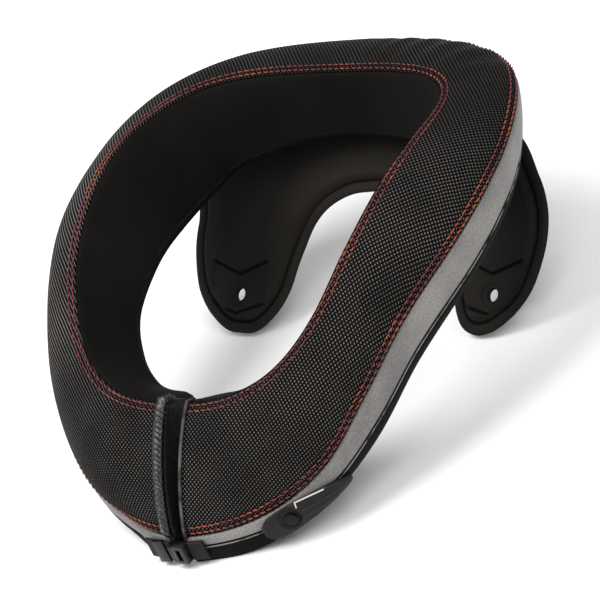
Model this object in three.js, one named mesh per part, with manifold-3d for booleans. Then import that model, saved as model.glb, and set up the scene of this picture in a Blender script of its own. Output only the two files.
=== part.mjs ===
// A soft neck brace for motocross: a foam collar, open at the front, under a woven cover,
// with a reflective strip round its side, a neoprene lining, a foam back panel with two
// wings, a small buckled strap across the front opening and a rubber tab on one side.
// Units are millimetres, +Z is up, +Y points to the back and +X to the wearer's left.

import * as THREE from 'three';
import { mergeVertices } from 'three/addons/utils/BufferGeometryUtils.js';
import Module from 'manifold-3d';

const wasm = await Module();
wasm.setup();

// Driving dimensions of the collar
const NECK_WIDTH = 149;
const NECK_LENGTH = 155.5;
const SEAM_HEIGHT = 101;
const SEAM_FRONT_HEIGHT = 54;
const WIDEST_SHARE = 0.637;
const FRONT_ROUNDNESS = 2.6;
const BACK_ROUNDNESS = 3.4;
const FRONT_TAPER = 0.03;
const ROLL_WIDTH = 36;
const ROLL_DROP = 42;
const ROLL_CROWN = 4;
const STRIP_WIDTH = 15;
const BAND_WIDTH = 10;
const SIDE_CROWN = 0.6;
const LIP_REACH = 26;
const WALL_DEPTH = 32;
const WALL_CROWN = 1.5;
const KEEL_SAG = 10;
const EDGE_ROUND = 5;
const SLIT_WIDTH = 14;
const SLIT_TOE = 0.1;
const LIP_CORNER = 9;
const LIP_CORNER_RUN = 14;
const FRONT_TO_SEAM = 39;
const FRONT_TO_MIDDLE = 116.4;
const SKIN = 2;
const GAP = 0.3;
const RING_STEPS = 48;
const SEAM_STATIONS = 120;
const EASING_PASSES = 30;

// Height of the inner top seam: share of the neck length, share of the seam's whole rise
const SEAM_RISE = [
  { along: 0, rise: 0 },
  { along: 0.07, rise: 0.138 },
  { along: 0.18, rise: 0.383 },
  { along: 0.33, rise: 0.702 },
  { along: 0.52, rise: 0.936 },
  { along: 0.68, rise: 1 },
  { along: 0.85, rise: 0.964 },
  { along: 1, rise: 0.936 },
];

// The collar's section, from the slit (at 0) round to the middle of the back (at 1).
// coverOut and coverDrop place the outer seam from the inner one, as shares of ROLL_WIDTH
// and ROLL_DROP; stripOut and stripDrop the strip's lower edge from there, of STRIP_WIDTH;
// bandOut and bandDrop the outer bottom edge, of BAND_WIDTH; lipIn and wallDrop the inner
// bottom edge from the inner seam, of LIP_REACH and WALL_DEPTH; keelAt and keelSag where
// the underside hangs lowest and by how much, of KEEL_SAG.
const COLLAR_SECTIONS = [
  { at: 0, coverOut: 0.89, coverDrop: 1.01, stripOut: 0.07, stripDrop: 0.27, bandOut: 0,
    bandDrop: 0.85, lipIn: 1, wallDrop: 0.39, keelAt: 0.15, keelSag: 1 },
  { at: 0.1, coverOut: 0.78, coverDrop: 0.98, stripOut: 0.05, stripDrop: 0.33, bandOut: -0.2,
    bandDrop: 0.8, lipIn: 0.94, wallDrop: 0.52, keelAt: 0.2, keelSag: 0.8 },
  { at: 0.2, coverOut: 0.69, coverDrop: 0.865, stripOut: 0.03, stripDrop: 0.53, bandOut: -0.4,
    bandDrop: 0.6, lipIn: 0.85, wallDrop: 0.66, keelAt: 0.3, keelSag: 0.5 },
  { at: 0.27, coverOut: 0.645, coverDrop: 0.695, stripOut: 0, stripDrop: 0.8, bandOut: -0.43,
    bandDrop: 0.75, lipIn: 0.77, wallDrop: 0.8, keelAt: 0.4, keelSag: 0.4 },
  { at: 0.35, coverOut: 0.645, coverDrop: 0.63, stripOut: -0.02, stripDrop: 0.9, bandOut: -0.43,
    bandDrop: 0.75, lipIn: 0.71, wallDrop: 0.93, keelAt: 0.5, keelSag: 0.4 },
  { at: 0.5, coverOut: 0.815, coverDrop: 0.58, stripOut: -0.07, stripDrop: 0.97, bandOut: -0.45,
    bandDrop: 0.7, lipIn: 0.91, wallDrop: 1, keelAt: 0.5, keelSag: 0.4 },
  { at: 0.6, coverOut: 0.85, coverDrop: 0.44, stripOut: -0.15, stripDrop: 1, bandOut: -0.46,
    bandDrop: 0.7, lipIn: 0.92, wallDrop: 1, keelAt: 0.5, keelSag: 0.35 },
  { at: 0.7, coverOut: 0.815, coverDrop: 0.245, stripOut: -0.3, stripDrop: 1, bandOut: -0.47,
    bandDrop: 0.7, lipIn: 0.85, wallDrop: 0.97, keelAt: 0.5, keelSag: 0.3 },
  { at: 0.8, coverOut: 0.875, coverDrop: 0.255, stripOut: -0.5, stripDrop: 0.97, bandOut: -0.5,
    bandDrop: 0.7, lipIn: 0.42, wallDrop: 0.97, keelAt: 0.5, keelSag: 0.3 },
  { at: 1, coverOut: 1, coverDrop: 0.285, stripOut: -0.4, stripDrop: 0.93, bandOut: -0.5,
    bandDrop: 0.7, lipIn: 0.1, wallDrop: 1, keelAt: 0.5, keelSag: 0.3 },
];

// Driving dimensions of the back panel
const PANEL_HALF_WIDTH = 89.7;
const PANEL_LENGTH = 80.4;
const PANEL_SLOPE = 42 * Math.PI / 180;
const PANEL_TOP_Y = 86.3;
const PANEL_TOP_Z = 55.3;
const PANEL_RIM = 2.6;
const PANEL_RIM_WIDTH = 4;
const PANEL_PAD_RAISE = 2;
const WING_HOLE_DIAMETER = 5;
const WING_HOLE_X = 65.5;
const WING_HOLE_DOWN = 61.6;
const WING_WEB = 2.6;
const CHEVRON_WIDTH = 28;
const CHEVRON_HEIGHT = 16.4;
const CHEVRON_FALL = 5.5;
const PANEL_STEPS = 36;

// Edges of one half of the panel, from its middle line to the wing's tip: the notch's edge
// (in) and the outside edge (out), sideways as shares of PANEL_HALF_WIDTH and down the
// slope as shares of PANEL_LENGTH.
const PANEL_EDGES = [
  { at: 0, inSide: 0, inDown: 0.235, outSide: 0, outDown: -0.16 },
  { at: 0.12, inSide: 0.14, inDown: 0.25, outSide: 0.4, outDown: -0.16 },
  { at: 0.24, inSide: 0.25, inDown: 0.32, outSide: 0.75, outDown: -0.06 },
  { at: 0.36, inSide: 0.32, inDown: 0.425, outSide: 0.9, outDown: 0.17 },
  { at: 0.47, inSide: 0.37, inDown: 0.57, outSide: 0.98, outDown: 0.33 },
  { at: 0.57, inSide: 0.42, inDown: 0.67, outSide: 1, outDown: 0.47 },
  { at: 0.67, inSide: 0.465, inDown: 0.76, outSide: 0.985, outDown: 0.61 },
  { at: 0.76, inSide: 0.505, inDown: 0.85, outSide: 0.955, outDown: 0.74 },
  { at: 0.84, inSide: 0.55, inDown: 0.92, outSide: 0.915, outDown: 0.84 },
  { at: 0.91, inSide: 0.6, inDown: 0.97, outSide: 0.86, outDown: 0.92 },
  { at: 0.96, inSide: 0.65, inDown: 0.995, outSide: 0.8, outDown: 0.97 },
  { at: 1, inSide: 0.7, inDown: 1, outSide: 0.745, outDown: 0.995 },
];

// Driving dimensions of the slit's edges, the front strap and the side tab
const FACING_THICKNESS = 2.4;
const BINDING_WIDTH = 6;
const BINDING_RISE = 2;
const PIPING_WIDTH = 1.8;
const STRAP_WIDTH = 8.6;
const STRAP_THICKNESS = 1.4;
const STRAP_LOW = 3;
const STRAP_STAND_OFF = 0.5;
const STRAP_LEFT_END = -14.5;
const STRAP_LEFT_STOP = -3.5;
const STRAP_RIGHT_START = 7.1;
const STRAP_RIGHT_END = 13.5;
const KEEPER_X = -8.2;
const KEEPER_WIDTH = 1.6;
const KEEPER_WALL = 0.7;
const BUCKLE_HEIGHT = 10;
const BUCKLE_THICKNESS = 4;
const BUCKLE_LEFT = -3.2;
const BUCKLE_RIGHT = 6.8;
const BUCKLE_WALL = 0.9;
const BUCKLE_PLUG_SHARE = 0.3;
const PRONG_LENGTH = 4.6;
const PRONG_WIDTH = 1.8;
const TAB_THICKNESS = 1.8;
const TAB_START = 0.11;
const TAB_END = 0.235;
const TAB_STEPS = 16;
const RIVET_SHARE = 0.15;
const RIVET_DIAMETER = 6;
const RIVET_RISE = 0.7;
const RECESS_DIAMETER = 8.4;
const RECESS_DEPTH = 1.1;

// Edges of the side tab, from its front end to its back end, as shares of the way down
// from the outer seam to the outer bottom edge.
const TAB_EDGES = [
  { at: 0, top: 0.3, low: 0.7 },
  { at: 0.08, top: 0.1, low: 0.9 },
  { at: 0.3, top: 0.03, low: 0.97 },
  { at: 0.7, top: 0.06, low: 0.97 },
  { at: 0.85, top: 0.3, low: 0.97 },
  { at: 1, top: 0.62, low: 0.93 },
];

const MATERIALS = {
  foam: { color: 0x2a2a2c, roughness: 0.95, metalness: 0 },
  wovenCover: { color: 0x1d1d1e, roughness: 0.72, metalness: 0 },
  neoprene: { color: 0x161617, roughness: 0.85, metalness: 0 },
  reflective: { color: 0x8c8b88, roughness: 0.5, metalness: 0.1 },
  vinyl: { color: 0x111112, roughness: 0.35, metalness: 0 },
  greyPiping: { color: 0x6f6f70, roughness: 0.5, metalness: 0 },
  webbing: { color: 0x2c2d2f, roughness: 0.7, metalness: 0 },
  plastic: { color: 0x18191b, roughness: 0.4, metalness: 0 },
  rubber: { color: 0x282523, roughness: 0.6, metalness: 0 },
};

// Value at t on a smooth curve through the rows' (key, value) pairs.
function smoothAt(rows, key, value, t) {
  const last = rows.length - 1;
  let i = 0;
  while (i < last - 1 && t >= rows[i + 1][key]) i += 1;
  const slope = (k) => {
    const before = rows[Math.max(k - 1, 0)];
    const after = rows[Math.min(k + 1, last)];
    return (after[value] - before[value]) / (after[key] - before[key]);
  };
  const a = rows[i];
  const b = rows[i + 1];
  const h = b[key] - a[key];
  const s = (t - a[key]) / h;
  const s2 = s * s;
  const s3 = s2 * s;
  return (2 * s3 - 3 * s2 + 1) * a[value] + (s3 - 2 * s2 + s) * h * slope(i)
    + (3 * s2 - 2 * s3) * b[value] + (s3 - s2) * h * slope(i + 1);
}

// Plan of the inner top seam, one half, at angle 0 (front) to PI (back): two half
// superellipses that meet where the neck opening is widest.
function planPoint(angle) {
  const c = -Math.cos(angle);
  const power = 2 / (c < 0 ? FRONT_ROUNDNESS : BACK_ROUNDNESS);
  const wideY = WIDEST_SHARE * NECK_LENGTH;
  const reach = c < 0 ? -wideY : NECK_LENGTH - wideY;
  const y = wideY + reach * Math.abs(c) ** power;
  const taper = FRONT_TAPER * Math.sin(Math.PI * Math.min(y / wideY, 1));
  const x = NECK_WIDTH / 2 * (1 - taper) * Math.abs(Math.sin(angle)) ** power;
  return new THREE.Vector2(x, y);
}

// Stations evenly spaced along half the inner top seam, each with its outward direction
// in plan, eased so that the roll turns gently round the corners.
function seamStations(count) {
  const fine = 4000;
  const points = [];
  const travel = [0];
  for (let i = 0; i <= fine; i += 1) {
    points.push(planPoint(Math.PI * i / fine));
    if (i > 0) travel.push(travel[i - 1] + points[i].distanceTo(points[i - 1]));
  }
  const stations = [];
  let j = 0;
  for (let i = 0; i <= count; i += 1) {
    const target = travel[fine] * i / count;
    while (j < fine - 1 && travel[j + 1] < target) j += 1;
    const part = (target - travel[j]) / (travel[j + 1] - travel[j]);
    const p = points[j].clone().lerp(points[j + 1], part);
    const rise = smoothAt(SEAM_RISE, 'along', 'rise', p.y / NECK_LENGTH);
    const z = SEAM_FRONT_HEIGHT + (SEAM_HEIGHT - SEAM_FRONT_HEIGHT) * rise;
    stations.push({ place: new THREE.Vector3(p.x, p.y, z), out: new THREE.Vector2() });
  }
  for (let i = 1; i < count; i += 1) {
    const ahead = stations[i + 1].place;
    const behind = stations[i - 1].place;
    stations[i].out.set(ahead.y - behind.y, behind.x - ahead.x).normalize();
  }
  stations[0].out.set(-SLIT_TOE, -1).normalize();
  stations[count].out.set(0, 1);
  for (let pass = 0; pass < EASING_PASSES; pass += 1) {
    const eased = stations.map((s) => s.out.clone());
    for (let i = 1; i < count; i += 1) {
      eased[i].add(stations[i - 1].out).add(stations[i + 1].out).normalize();
    }
    stations.forEach((s, i) => s.out.copy(eased[i]));
  }
  return { stations, length: travel[fine] };
}

const SEAM = seamStations(SEAM_STATIONS);
const SLIT_SHARE = SLIT_WIDTH / 2 / SEAM.length;

// A place on the seam: share 0 at the front to 1 at the back, side 1 for +X, -1 for -X.
function seamAt(share, side) {
  const last = SEAM.stations.length - 1;
  const f = Math.min(Math.max(share, 0), 1) * last;
  const i = Math.min(Math.floor(f), last - 1);
  const a = SEAM.stations[i];
  const b = SEAM.stations[i + 1];
  const place = a.place.clone().lerp(b.place, f - i);
  const out = a.out.clone().lerp(b.out, f - i).normalize();
  place.x *= side;
  place.y += FRONT_TO_SEAM - FRONT_TO_MIDDLE;
  return { place, out: new THREE.Vector3(out.x * side, out.y, 0) };
}

// Turn a section point (out from the seam, up from the seam) into a place in space.
function placed(share, side, point) {
  const { place, out } = seamAt(share, side);
  return new THREE.Vector3(
    place.x + out.x * point.x,
    place.y + out.y * point.x,
    place.z + point.y,
  );
}

// Points along a span, bulged square to it. peak is where the bulge is highest.
function bulgedSpan(a, b, count, bulge, peak, fullness) {
  const along = b.clone().sub(a);
  const square = new THREE.Vector2(-along.y, along.x).normalize();
  const bend = Math.log(0.5) / Math.log(peak);
  const points = [];
  for (let i = 0; i < count; i += 1) {
    const t = i / count;
    const lift = Math.abs(Math.sin(Math.PI * t ** bend)) ** fullness;
    points.push(a.clone().addScaledVector(along, t).addScaledVector(square, bulge * lift));
  }
  return points;
}

const COVER_PARTS = 7;
const STRIP_PARTS = 2;
const BAND_PARTS = 2;
const UNDER_PARTS = 6;
const WALL_PARTS = 5;
const MARK_OUTER = COVER_PARTS;
const MARK_STRIP_LOW = MARK_OUTER + STRIP_PARTS;
const MARK_INNER_LOW = MARK_STRIP_LOW + BAND_PARTS + UNDER_PARTS;

// The collar's outline at one place: a closed ring of points that starts at the inner
// top seam and runs over the roll, down its side, back under it and up the inner wall.
function outlineAt(share) {
  const row = {};
  for (const name of Object.keys(COLLAR_SECTIONS[0])) {
    row[name] = smoothAt(COLLAR_SECTIONS, 'at', name, share);
  }
  const fromSlit = (share - SLIT_SHARE) * SEAM.length / LIP_CORNER_RUN;
  const cornerCut = LIP_CORNER * (1 - Math.min(Math.max(fromSlit, 0), 1)) ** 2;
  const inner = new THREE.Vector2(0, 0);
  const outer = new THREE.Vector2(row.coverOut * ROLL_WIDTH, -row.coverDrop * ROLL_DROP);
  const stripLow = outer.clone();
  stripLow.x += row.stripOut * STRIP_WIDTH;
  stripLow.y -= row.stripDrop * STRIP_WIDTH;
  const bandLow = stripLow.clone();
  bandLow.x += row.bandOut * BAND_WIDTH;
  bandLow.y -= row.bandDrop * BAND_WIDTH;
  const innerLow = new THREE.Vector2(cornerCut - row.lipIn * LIP_REACH, -row.wallDrop * WALL_DEPTH);
  const toward = (from, to, distance) => {
    const step = to.clone().sub(from);
    return from.clone().addScaledVector(step, distance / step.length());
  };
  const underEnd = toward(innerLow, bandLow, EDGE_ROUND);
  const wallStart = toward(innerLow, inner, EDGE_ROUND);
  const tip = underEnd.clone().add(wallStart).multiplyScalar(0.25).addScaledVector(innerLow, 0.5);
  const sag = row.keelSag * KEEL_SAG;
  const points = [
    ...bulgedSpan(inner, outer, COVER_PARTS, ROLL_CROWN, 0.5, 0.7),
    ...bulgedSpan(outer, stripLow, STRIP_PARTS, SIDE_CROWN, 0.5, 1),
    ...bulgedSpan(stripLow, bandLow, BAND_PARTS, SIDE_CROWN, 0.5, 1),
    ...bulgedSpan(bandLow, underEnd, UNDER_PARTS - 1, sag, row.keelAt, 0.8),
    underEnd,
    tip,
    ...bulgedSpan(wallStart, inner, WALL_PARTS - 1, WALL_CROWN, 0.5, 1),
  ];
  const floor = -seamAt(share, 1).place.z;
  points.forEach((p) => { p.y = Math.max(p.y, floor); });
  return points;
}

// The same ring moved inwards by a depth, with its corners mitred.
function insetRing(ring, depth) {
  const count = ring.length;
  const squareTo = (a, b) => new THREE.Vector2(a.y - b.y, b.x - a.x).normalize();
  return ring.map((p, i) => {
    const n1 = squareTo(ring[(i + count - 1) % count], p);
    const n2 = squareTo(p, ring[(i + 1) % count]);
    const mitre = n1.clone().add(n2).divideScalar(Math.max(1 + n1.dot(n2), 0.5));
    return p.clone().addScaledVector(mitre, -depth);
  });
}

// A skin's section between two marks of the outline: its outer face forward, then its
// inner face back, with half a gap taken off each end.
function skinRing(outline, from, to) {
  const inner = insetRing(outline, SKIN);
  const pick = (ring) => {
    const points = [];
    for (let i = from; i <= to; i += 1) points.push(ring[i % ring.length].clone());
    const trim = (end, next) => {
      const step = next.clone().sub(end);
      end.addScaledVector(step, Math.min(GAP / 2 / step.length(), 0.4));
    };
    trim(points[0], points[1]);
    trim(points[points.length - 1], points[points.length - 2]);
    return points;
  };
  return [...pick(outline), ...pick(inner).reverse()];
}

// Ends of a loft: a fan about the ring's middle, or a ladder for a thin folded-back ring.
function fanCap(ring, vertices) {
  const middle = new THREE.Vector3();
  ring.forEach((p) => middle.add(p));
  vertices.push(middle.divideScalar(ring.length));
  const centre = vertices.length - 1;
  return ring.map((p, i) => [centre, i, (i + 1) % ring.length]);
}

function ladderCap(ring) {
  const faces = [];
  for (let i = 0; i < ring.length / 2 - 1; i += 1) {
    const j = ring.length - 1 - i;
    faces.push([i, i + 1, j], [i + 1, j - 1, j]);
  }
  return faces;
}

// A closed body through rings of points that match one to one. From the point number
// turned on, the quads are cut along their other diagonal, so that a folded-back inner face
// keeps the same facets as what it lies against.
function loft(rings, cap, turned = Infinity) {
  const size = rings[0].length;
  const vertices = rings.flat();
  const faces = [];
  for (let k = 0; k < rings.length - 1; k += 1) {
    for (let i = 0; i < size; i += 1) {
      const a = k * size + i;
      const b = k * size + (i + 1) % size;
      if (i < turned) faces.push([a, b, a + size], [b, b + size, a + size]);
      else faces.push([a, b, b + size], [a, b + size, a + size]);
    }
  }
  const lastStart = (rings.length - 1) * size;
  const addCap = (ring, start, flipped) => {
    const before = vertices.length;
    for (const face of cap(ring, vertices)) {
      const shifted = face.map((i) => (i >= before ? i : i + start));
      faces.push(flipped ? shifted.reverse() : shifted);
    }
  };
  addCap(rings[0], 0, true);
  addCap(rings[rings.length - 1], lastStart, false);
  return bodyFrom(vertices, faces);
}

// Geometry from vertices and triangles, turned so that its faces point outwards.
function bodyFrom(vertices, faces) {
  let volume = 0;
  for (const [a, b, c] of faces) {
    volume += vertices[a].dot(vertices[b].clone().cross(vertices[c]));
  }
  const index = faces.flatMap(([a, b, c]) => (volume < 0 ? [a, c, b] : [a, b, c]));
  const geometry = new THREE.BufferGeometry();
  geometry.setAttribute('position', new THREE.Float32BufferAttribute(
    vertices.flatMap((v) => [v.x, v.y, v.z]),
    3,
  ));
  geometry.setIndex(index);
  geometry.computeVertexNormals();
  return geometry;
}

function solidFrom(geometry) {
  const bare = geometry.clone();
  bare.deleteAttribute('normal');
  bare.deleteAttribute('uv');
  const merged = mergeVertices(bare, 1e-4);
  return new wasm.Manifold(new wasm.Mesh({
    numProp: 3,
    vertProperties: new Float32Array(merged.attributes.position.array),
    triVerts: new Uint32Array(merged.index.array),
  }));
}

function geometryFrom(solid) {
  const mesh = solid.getMesh();
  const geometry = new THREE.BufferGeometry();
  geometry.setAttribute('position', new THREE.Float32BufferAttribute(mesh.vertProperties, 3));
  geometry.setIndex([...mesh.triVerts]);
  geometry.computeVertexNormals();
  return geometry;
}

function piece(name, geometry, material) {
  const mesh = new THREE.Mesh(geometry, new THREE.MeshStandardMaterial(MATERIALS[material]));
  mesh.name = name;
  return mesh;
}

// Every station of the collar, from the slit's left edge round the back to its right edge.
function collarStations() {
  const stations = [];
  for (let k = 0; k <= RING_STEPS; k += 1) {
    const round = 2 * k / RING_STEPS - 1;
    const share = SLIT_SHARE + (1 - SLIT_SHARE) * (1 - Math.abs(round));
    stations.push({ share, side: round < 0 ? -1 : 1 });
  }
  return stations;
}

function collarRings(ringOf) {
  return collarStations().map(({ share, side }) => (
    ringOf(outlineAt(share)).map((point) => placed(share, side, point))
  ));
}

function collarCore() {
  return loft(collarRings((outline) => insetRing(outline, SKIN + GAP)), fanCap);
}

function collarSkin(from, to) {
  const rings = collarRings((outline) => skinRing(outline, from, to));
  return loft(rings, ladderCap, to - from + 1);
}

// One end of the slit closed by a thin cushion that follows the collar's outline.
function slitFacing(side) {
  const outline = outlineAt(SLIT_SHARE);
  const middle = new THREE.Vector2();
  outline.forEach((p) => middle.addScaledVector(p, 1 / outline.length));
  const intoSlit = new THREE.Vector3(-side, 0, 0);
  const layers = [
    { depth: GAP, size: 1 },
    { depth: GAP + FACING_THICKNESS * 0.6, size: 0.98 },
    { depth: GAP + FACING_THICKNESS, size: 0.86 },
  ];
  const rings = layers.map(({ depth, size }) => outline.map((p) => {
    const point = middle.clone().lerp(p, size);
    return placed(SLIT_SHARE, side, point).addScaledVector(intoSlit, depth);
  }));
  return loft(rings, fanCap);
}

// A half-round roll laid over the slit's edge, from the lip down to the outer seam. inset
// is how far its middle lies from the collar's end, towards the slit.
function slitEdgeRoll(side, width, rise, inset) {
  const across = [
    { over: -0.5, up: 0 },
    { over: -0.42, up: 0.55 },
    { over: 0, up: 1 },
    { over: 0.42, up: 0.55 },
    { over: 0.5, up: 0 },
  ];
  const columns = across.map(({ over, up }) => {
    const fromEnd = over * width - inset;
    const share = SLIT_SHARE + Math.max(fromEnd, 0) / SEAM.length;
    const outline = outlineAt(share);
    const low = insetRing(outline, -GAP);
    const high = insetRing(outline, -GAP - rise);
    return { up, share, intoSlit: Math.min(fromEnd, 0), low, high };
  });
  const size = columns[0].low.length;
  const first = size - 2;
  const last = size + COVER_PARTS;
  const rings = [];
  for (let i = first; i <= last; i += 1) {
    const fade = i === first || i === last ? 0.4 : 1;
    rings.push(columns.map(({ up, share, intoSlit, low, high }) => {
      const point = low[i % size].clone().lerp(high[i % size], up * fade);
      const place = placed(share, side, point);
      place.x += side * intoSlit;
      return place;
    }));
  }
  return loft(rings, fanCap);
}

// Panel coordinates: sideways, down the slope, and out of the panel's front face.
function onPanel(side, down, front) {
  const c = Math.cos(PANEL_SLOPE);
  const s = Math.sin(PANEL_SLOPE);
  return new THREE.Vector3(
    side,
    PANEL_TOP_Y - down * c - front * s,
    Math.max(PANEL_TOP_Z - down * s + front * c, 0),
  );
}

// The patch pressed into each wing round its hole: a chevron pointing down the slope.
function pressedPatch(side) {
  const half = CHEVRON_WIDTH / 2;
  const high = CHEVRON_HEIGHT / 2;
  const shape = new THREE.Shape([
    new THREE.Vector2(-half, high + CHEVRON_FALL),
    new THREE.Vector2(-half, CHEVRON_FALL - high),
    new THREE.Vector2(0, -high),
    new THREE.Vector2(half, CHEVRON_FALL - high),
    new THREE.Vector2(half, high + CHEVRON_FALL),
    new THREE.Vector2(0, high),
  ]);
  const patch = new THREE.ExtrudeGeometry(shape, { depth: 4 * PANEL_RIM, bevelEnabled: false });
  const c = Math.cos(PANEL_SLOPE);
  const s = Math.sin(PANEL_SLOPE);
  const turn = new THREE.Matrix4().makeBasis(
    new THREE.Vector3(1, 0, 0),
    new THREE.Vector3(0, c, s),
    new THREE.Vector3(0, -s, c),
  );
  const floor = WING_WEB - PANEL_RIM - PANEL_PAD_RAISE;
  turn.setPosition(onPanel(side * WING_HOLE_X, WING_HOLE_DOWN, floor));
  patch.applyMatrix4(turn);
  return patch;
}

// The back panel: a U of foam with a flat welded rim round a raised pad, lofted from one
// wing's tip over the middle to the other's, fitted under the collar's back, and with a
// pressed patch and a hole through each wing.
function backPanel() {
  const rings = [];
  for (let k = 0; k <= PANEL_STEPS; k += 1) {
    const round = 2 * k / PANEL_STEPS - 1;
    const side = round < 0 ? -1 : 1;
    const at = Math.abs(round);
    const edge = (name, size) => size * smoothAt(PANEL_EDGES, 'at', name, at);
    const inner = new THREE.Vector2(
      side * edge('inSide', PANEL_HALF_WIDTH),
      edge('inDown', PANEL_LENGTH),
    );
    const outer = new THREE.Vector2(
      side * edge('outSide', PANEL_HALF_WIDTH),
      edge('outDown', PANEL_LENGTH),
    );
    const width = inner.distanceTo(outer);
    const rim = Math.min(PANEL_RIM_WIDTH / width, 0.3);
    const fromTip = THREE.MathUtils.smoothstep(PANEL_LENGTH * (1 - at), 2, 8);
    const across = [
      { share: 0, raised: 0 },
      { share: rim, raised: 0 },
      { share: rim * 1.6, raised: 0.9 },
      { share: 0.5, raised: 1 },
      { share: 1 - rim * 1.6, raised: 0.9 },
      { share: 1 - rim, raised: 0 },
      { share: 1, raised: 0 },
    ];
    const face = (isFront) => across.map(({ share, raised }) => {
      const place = inner.clone().lerp(outer, share);
      const half = PANEL_RIM / 2 + PANEL_PAD_RAISE * raised * fromTip;
      return onPanel(place.x, place.y, (isFront ? half : -half) - PANEL_RIM / 2);
    });
    rings.push([...face(true), ...face(false).reverse()]);
  }
  const collar = loft(collarRings((outline) => insetRing(outline, -GAP)), fanCap);
  let panel = solidFrom(loft(rings, ladderCap)).subtract(solidFrom(collar));
  for (const side of [-1, 1]) {
    const drill = new THREE.CylinderGeometry(
      WING_HOLE_DIAMETER / 2,
      WING_HOLE_DIAMETER / 2,
      6 * PANEL_RIM,
      16,
    );
    drill.rotateX(PANEL_SLOPE + Math.PI / 2);
    const centre = onPanel(side * WING_HOLE_X, WING_HOLE_DOWN, -PANEL_RIM / 2);
    drill.translate(centre.x, centre.y, centre.z);
    panel = panel.subtract(solidFrom(pressedPatch(side))).subtract(solidFrom(drill));
  }
  return geometryFrom(panel);
}

// Foremost point of the collar's low front at one sideways place: the strap lies just
// in front of it.
function lowFrontY(x) {
  const side = Math.sign(x) || 1;
  let share = SLIT_SHARE;
  const step = 0.001;
  const outerX = (at) => Math.abs(placed(at, side, outlineAt(at)[MARK_OUTER]).x);
  while (outerX(share) < Math.abs(x)) share += step;
  const low = outlineAt(share).slice(MARK_OUTER - 1, MARK_STRIP_LOW + BAND_PARTS + 1);
  return Math.min(...low.map((point) => placed(share, side, point).y));
}

// A flat band that follows the collar's low front from one sideways place to another.
function frontBand(left, right, low, height, thickness, standOff) {
  const steps = Math.max(Math.round((right - left) / 4), 1);
  const rings = [];
  for (let i = 0; i <= steps; i += 1) {
    const x = left + (right - left) * i / steps;
    const back = lowFrontY(x) - standOff;
    rings.push([
      new THREE.Vector3(x, back, low),
      new THREE.Vector3(x, back - thickness, low),
      new THREE.Vector3(x, back - thickness, low + height),
      new THREE.Vector3(x, back, low + height),
    ]);
  }
  return loft(rings, fanCap);
}

const STRAP_BACK = STRAP_STAND_OFF;
const SOCKET_LEFT = BUCKLE_LEFT + (BUCKLE_RIGHT - BUCKLE_LEFT) * BUCKLE_PLUG_SHARE;
const BUCKLE_BACK = Math.min(...[BUCKLE_LEFT, 0, BUCKLE_RIGHT].map(lowFrontY)) - STRAP_STAND_OFF;

function block(left, right, front, back, low, high) {
  const box = new THREE.BoxGeometry(right - left, back - front, high - low);
  box.translate((left + right) / 2, (front + back) / 2, (low + high) / 2);
  return box;
}

// A keeper loop round the left strap: an outer block with the strap's own slot cut out.
function strapKeeper() {
  const back = lowFrontY(KEEPER_X) - STRAP_STAND_OFF;
  const left = KEEPER_X - KEEPER_WIDTH / 2;
  const right = KEEPER_X + KEEPER_WIDTH / 2;
  const high = STRAP_LOW + STRAP_WIDTH;
  const whole = block(
    left,
    right,
    back - STRAP_THICKNESS - GAP - KEEPER_WALL,
    back - STRAP_THICKNESS / 2,
    STRAP_LOW - GAP - KEEPER_WALL,
    high + GAP + KEEPER_WALL,
  );
  const slot = block(
    left - 1,
    right + 1,
    back - STRAP_THICKNESS - GAP,
    back + 1,
    STRAP_LOW - GAP,
    high + GAP,
  );
  return geometryFrom(solidFrom(whole).subtract(solidFrom(slot)));
}

// The buckle's female half: a flat box open towards the plug, with a window at the front.
function buckleSocket() {
  const front = BUCKLE_BACK - BUCKLE_THICKNESS;
  const middle = STRAP_LOW + STRAP_WIDTH / 2;
  const low = middle - BUCKLE_HEIGHT / 2;
  const high = middle + BUCKLE_HEIGHT / 2;
  const left = SOCKET_LEFT;
  const body = solidFrom(block(left, BUCKLE_RIGHT, front, BUCKLE_BACK, low, high));
  const hollow = solidFrom(block(
    left - 1,
    BUCKLE_RIGHT - 2 * BUCKLE_WALL,
    front + BUCKLE_WALL,
    BUCKLE_BACK - BUCKLE_WALL,
    low + BUCKLE_WALL,
    high - BUCKLE_WALL,
  ));
  const window = solidFrom(block(
    left + 2 * BUCKLE_WALL,
    BUCKLE_RIGHT - 3 * BUCKLE_WALL,
    front - 1,
    front + 2 * BUCKLE_WALL,
    low + 2 * BUCKLE_WALL,
    high - 2 * BUCKLE_WALL,
  ));
  return geometryFrom(body.subtract(hollow).subtract(window));
}

// The buckle's male half: a bar outside the socket with two prongs that reach into it.
function bucklePlug() {
  const middle = STRAP_LOW + STRAP_WIDTH / 2;
  const front = BUCKLE_BACK - BUCKLE_THICKNESS;
  const barRight = SOCKET_LEFT - GAP;
  const low = middle - BUCKLE_HEIGHT / 2;
  const high = middle + BUCKLE_HEIGHT / 2;
  let plug = solidFrom(block(
    BUCKLE_LEFT,
    barRight,
    front + BUCKLE_WALL / 2,
    BUCKLE_BACK - BUCKLE_WALL / 2,
    low + BUCKLE_WALL / 2,
    high - BUCKLE_WALL / 2,
  ));
  const inside = BUCKLE_WALL + GAP;
  const prongs = [low + inside, high - inside - PRONG_WIDTH];
  for (const start of prongs) {
    plug = plug.add(solidFrom(block(
      barRight - 1,
      barRight + PRONG_LENGTH,
      front + inside,
      BUCKLE_BACK - inside,
      start,
      start + PRONG_WIDTH,
    )));
  }
  return geometryFrom(plug);
}

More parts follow.
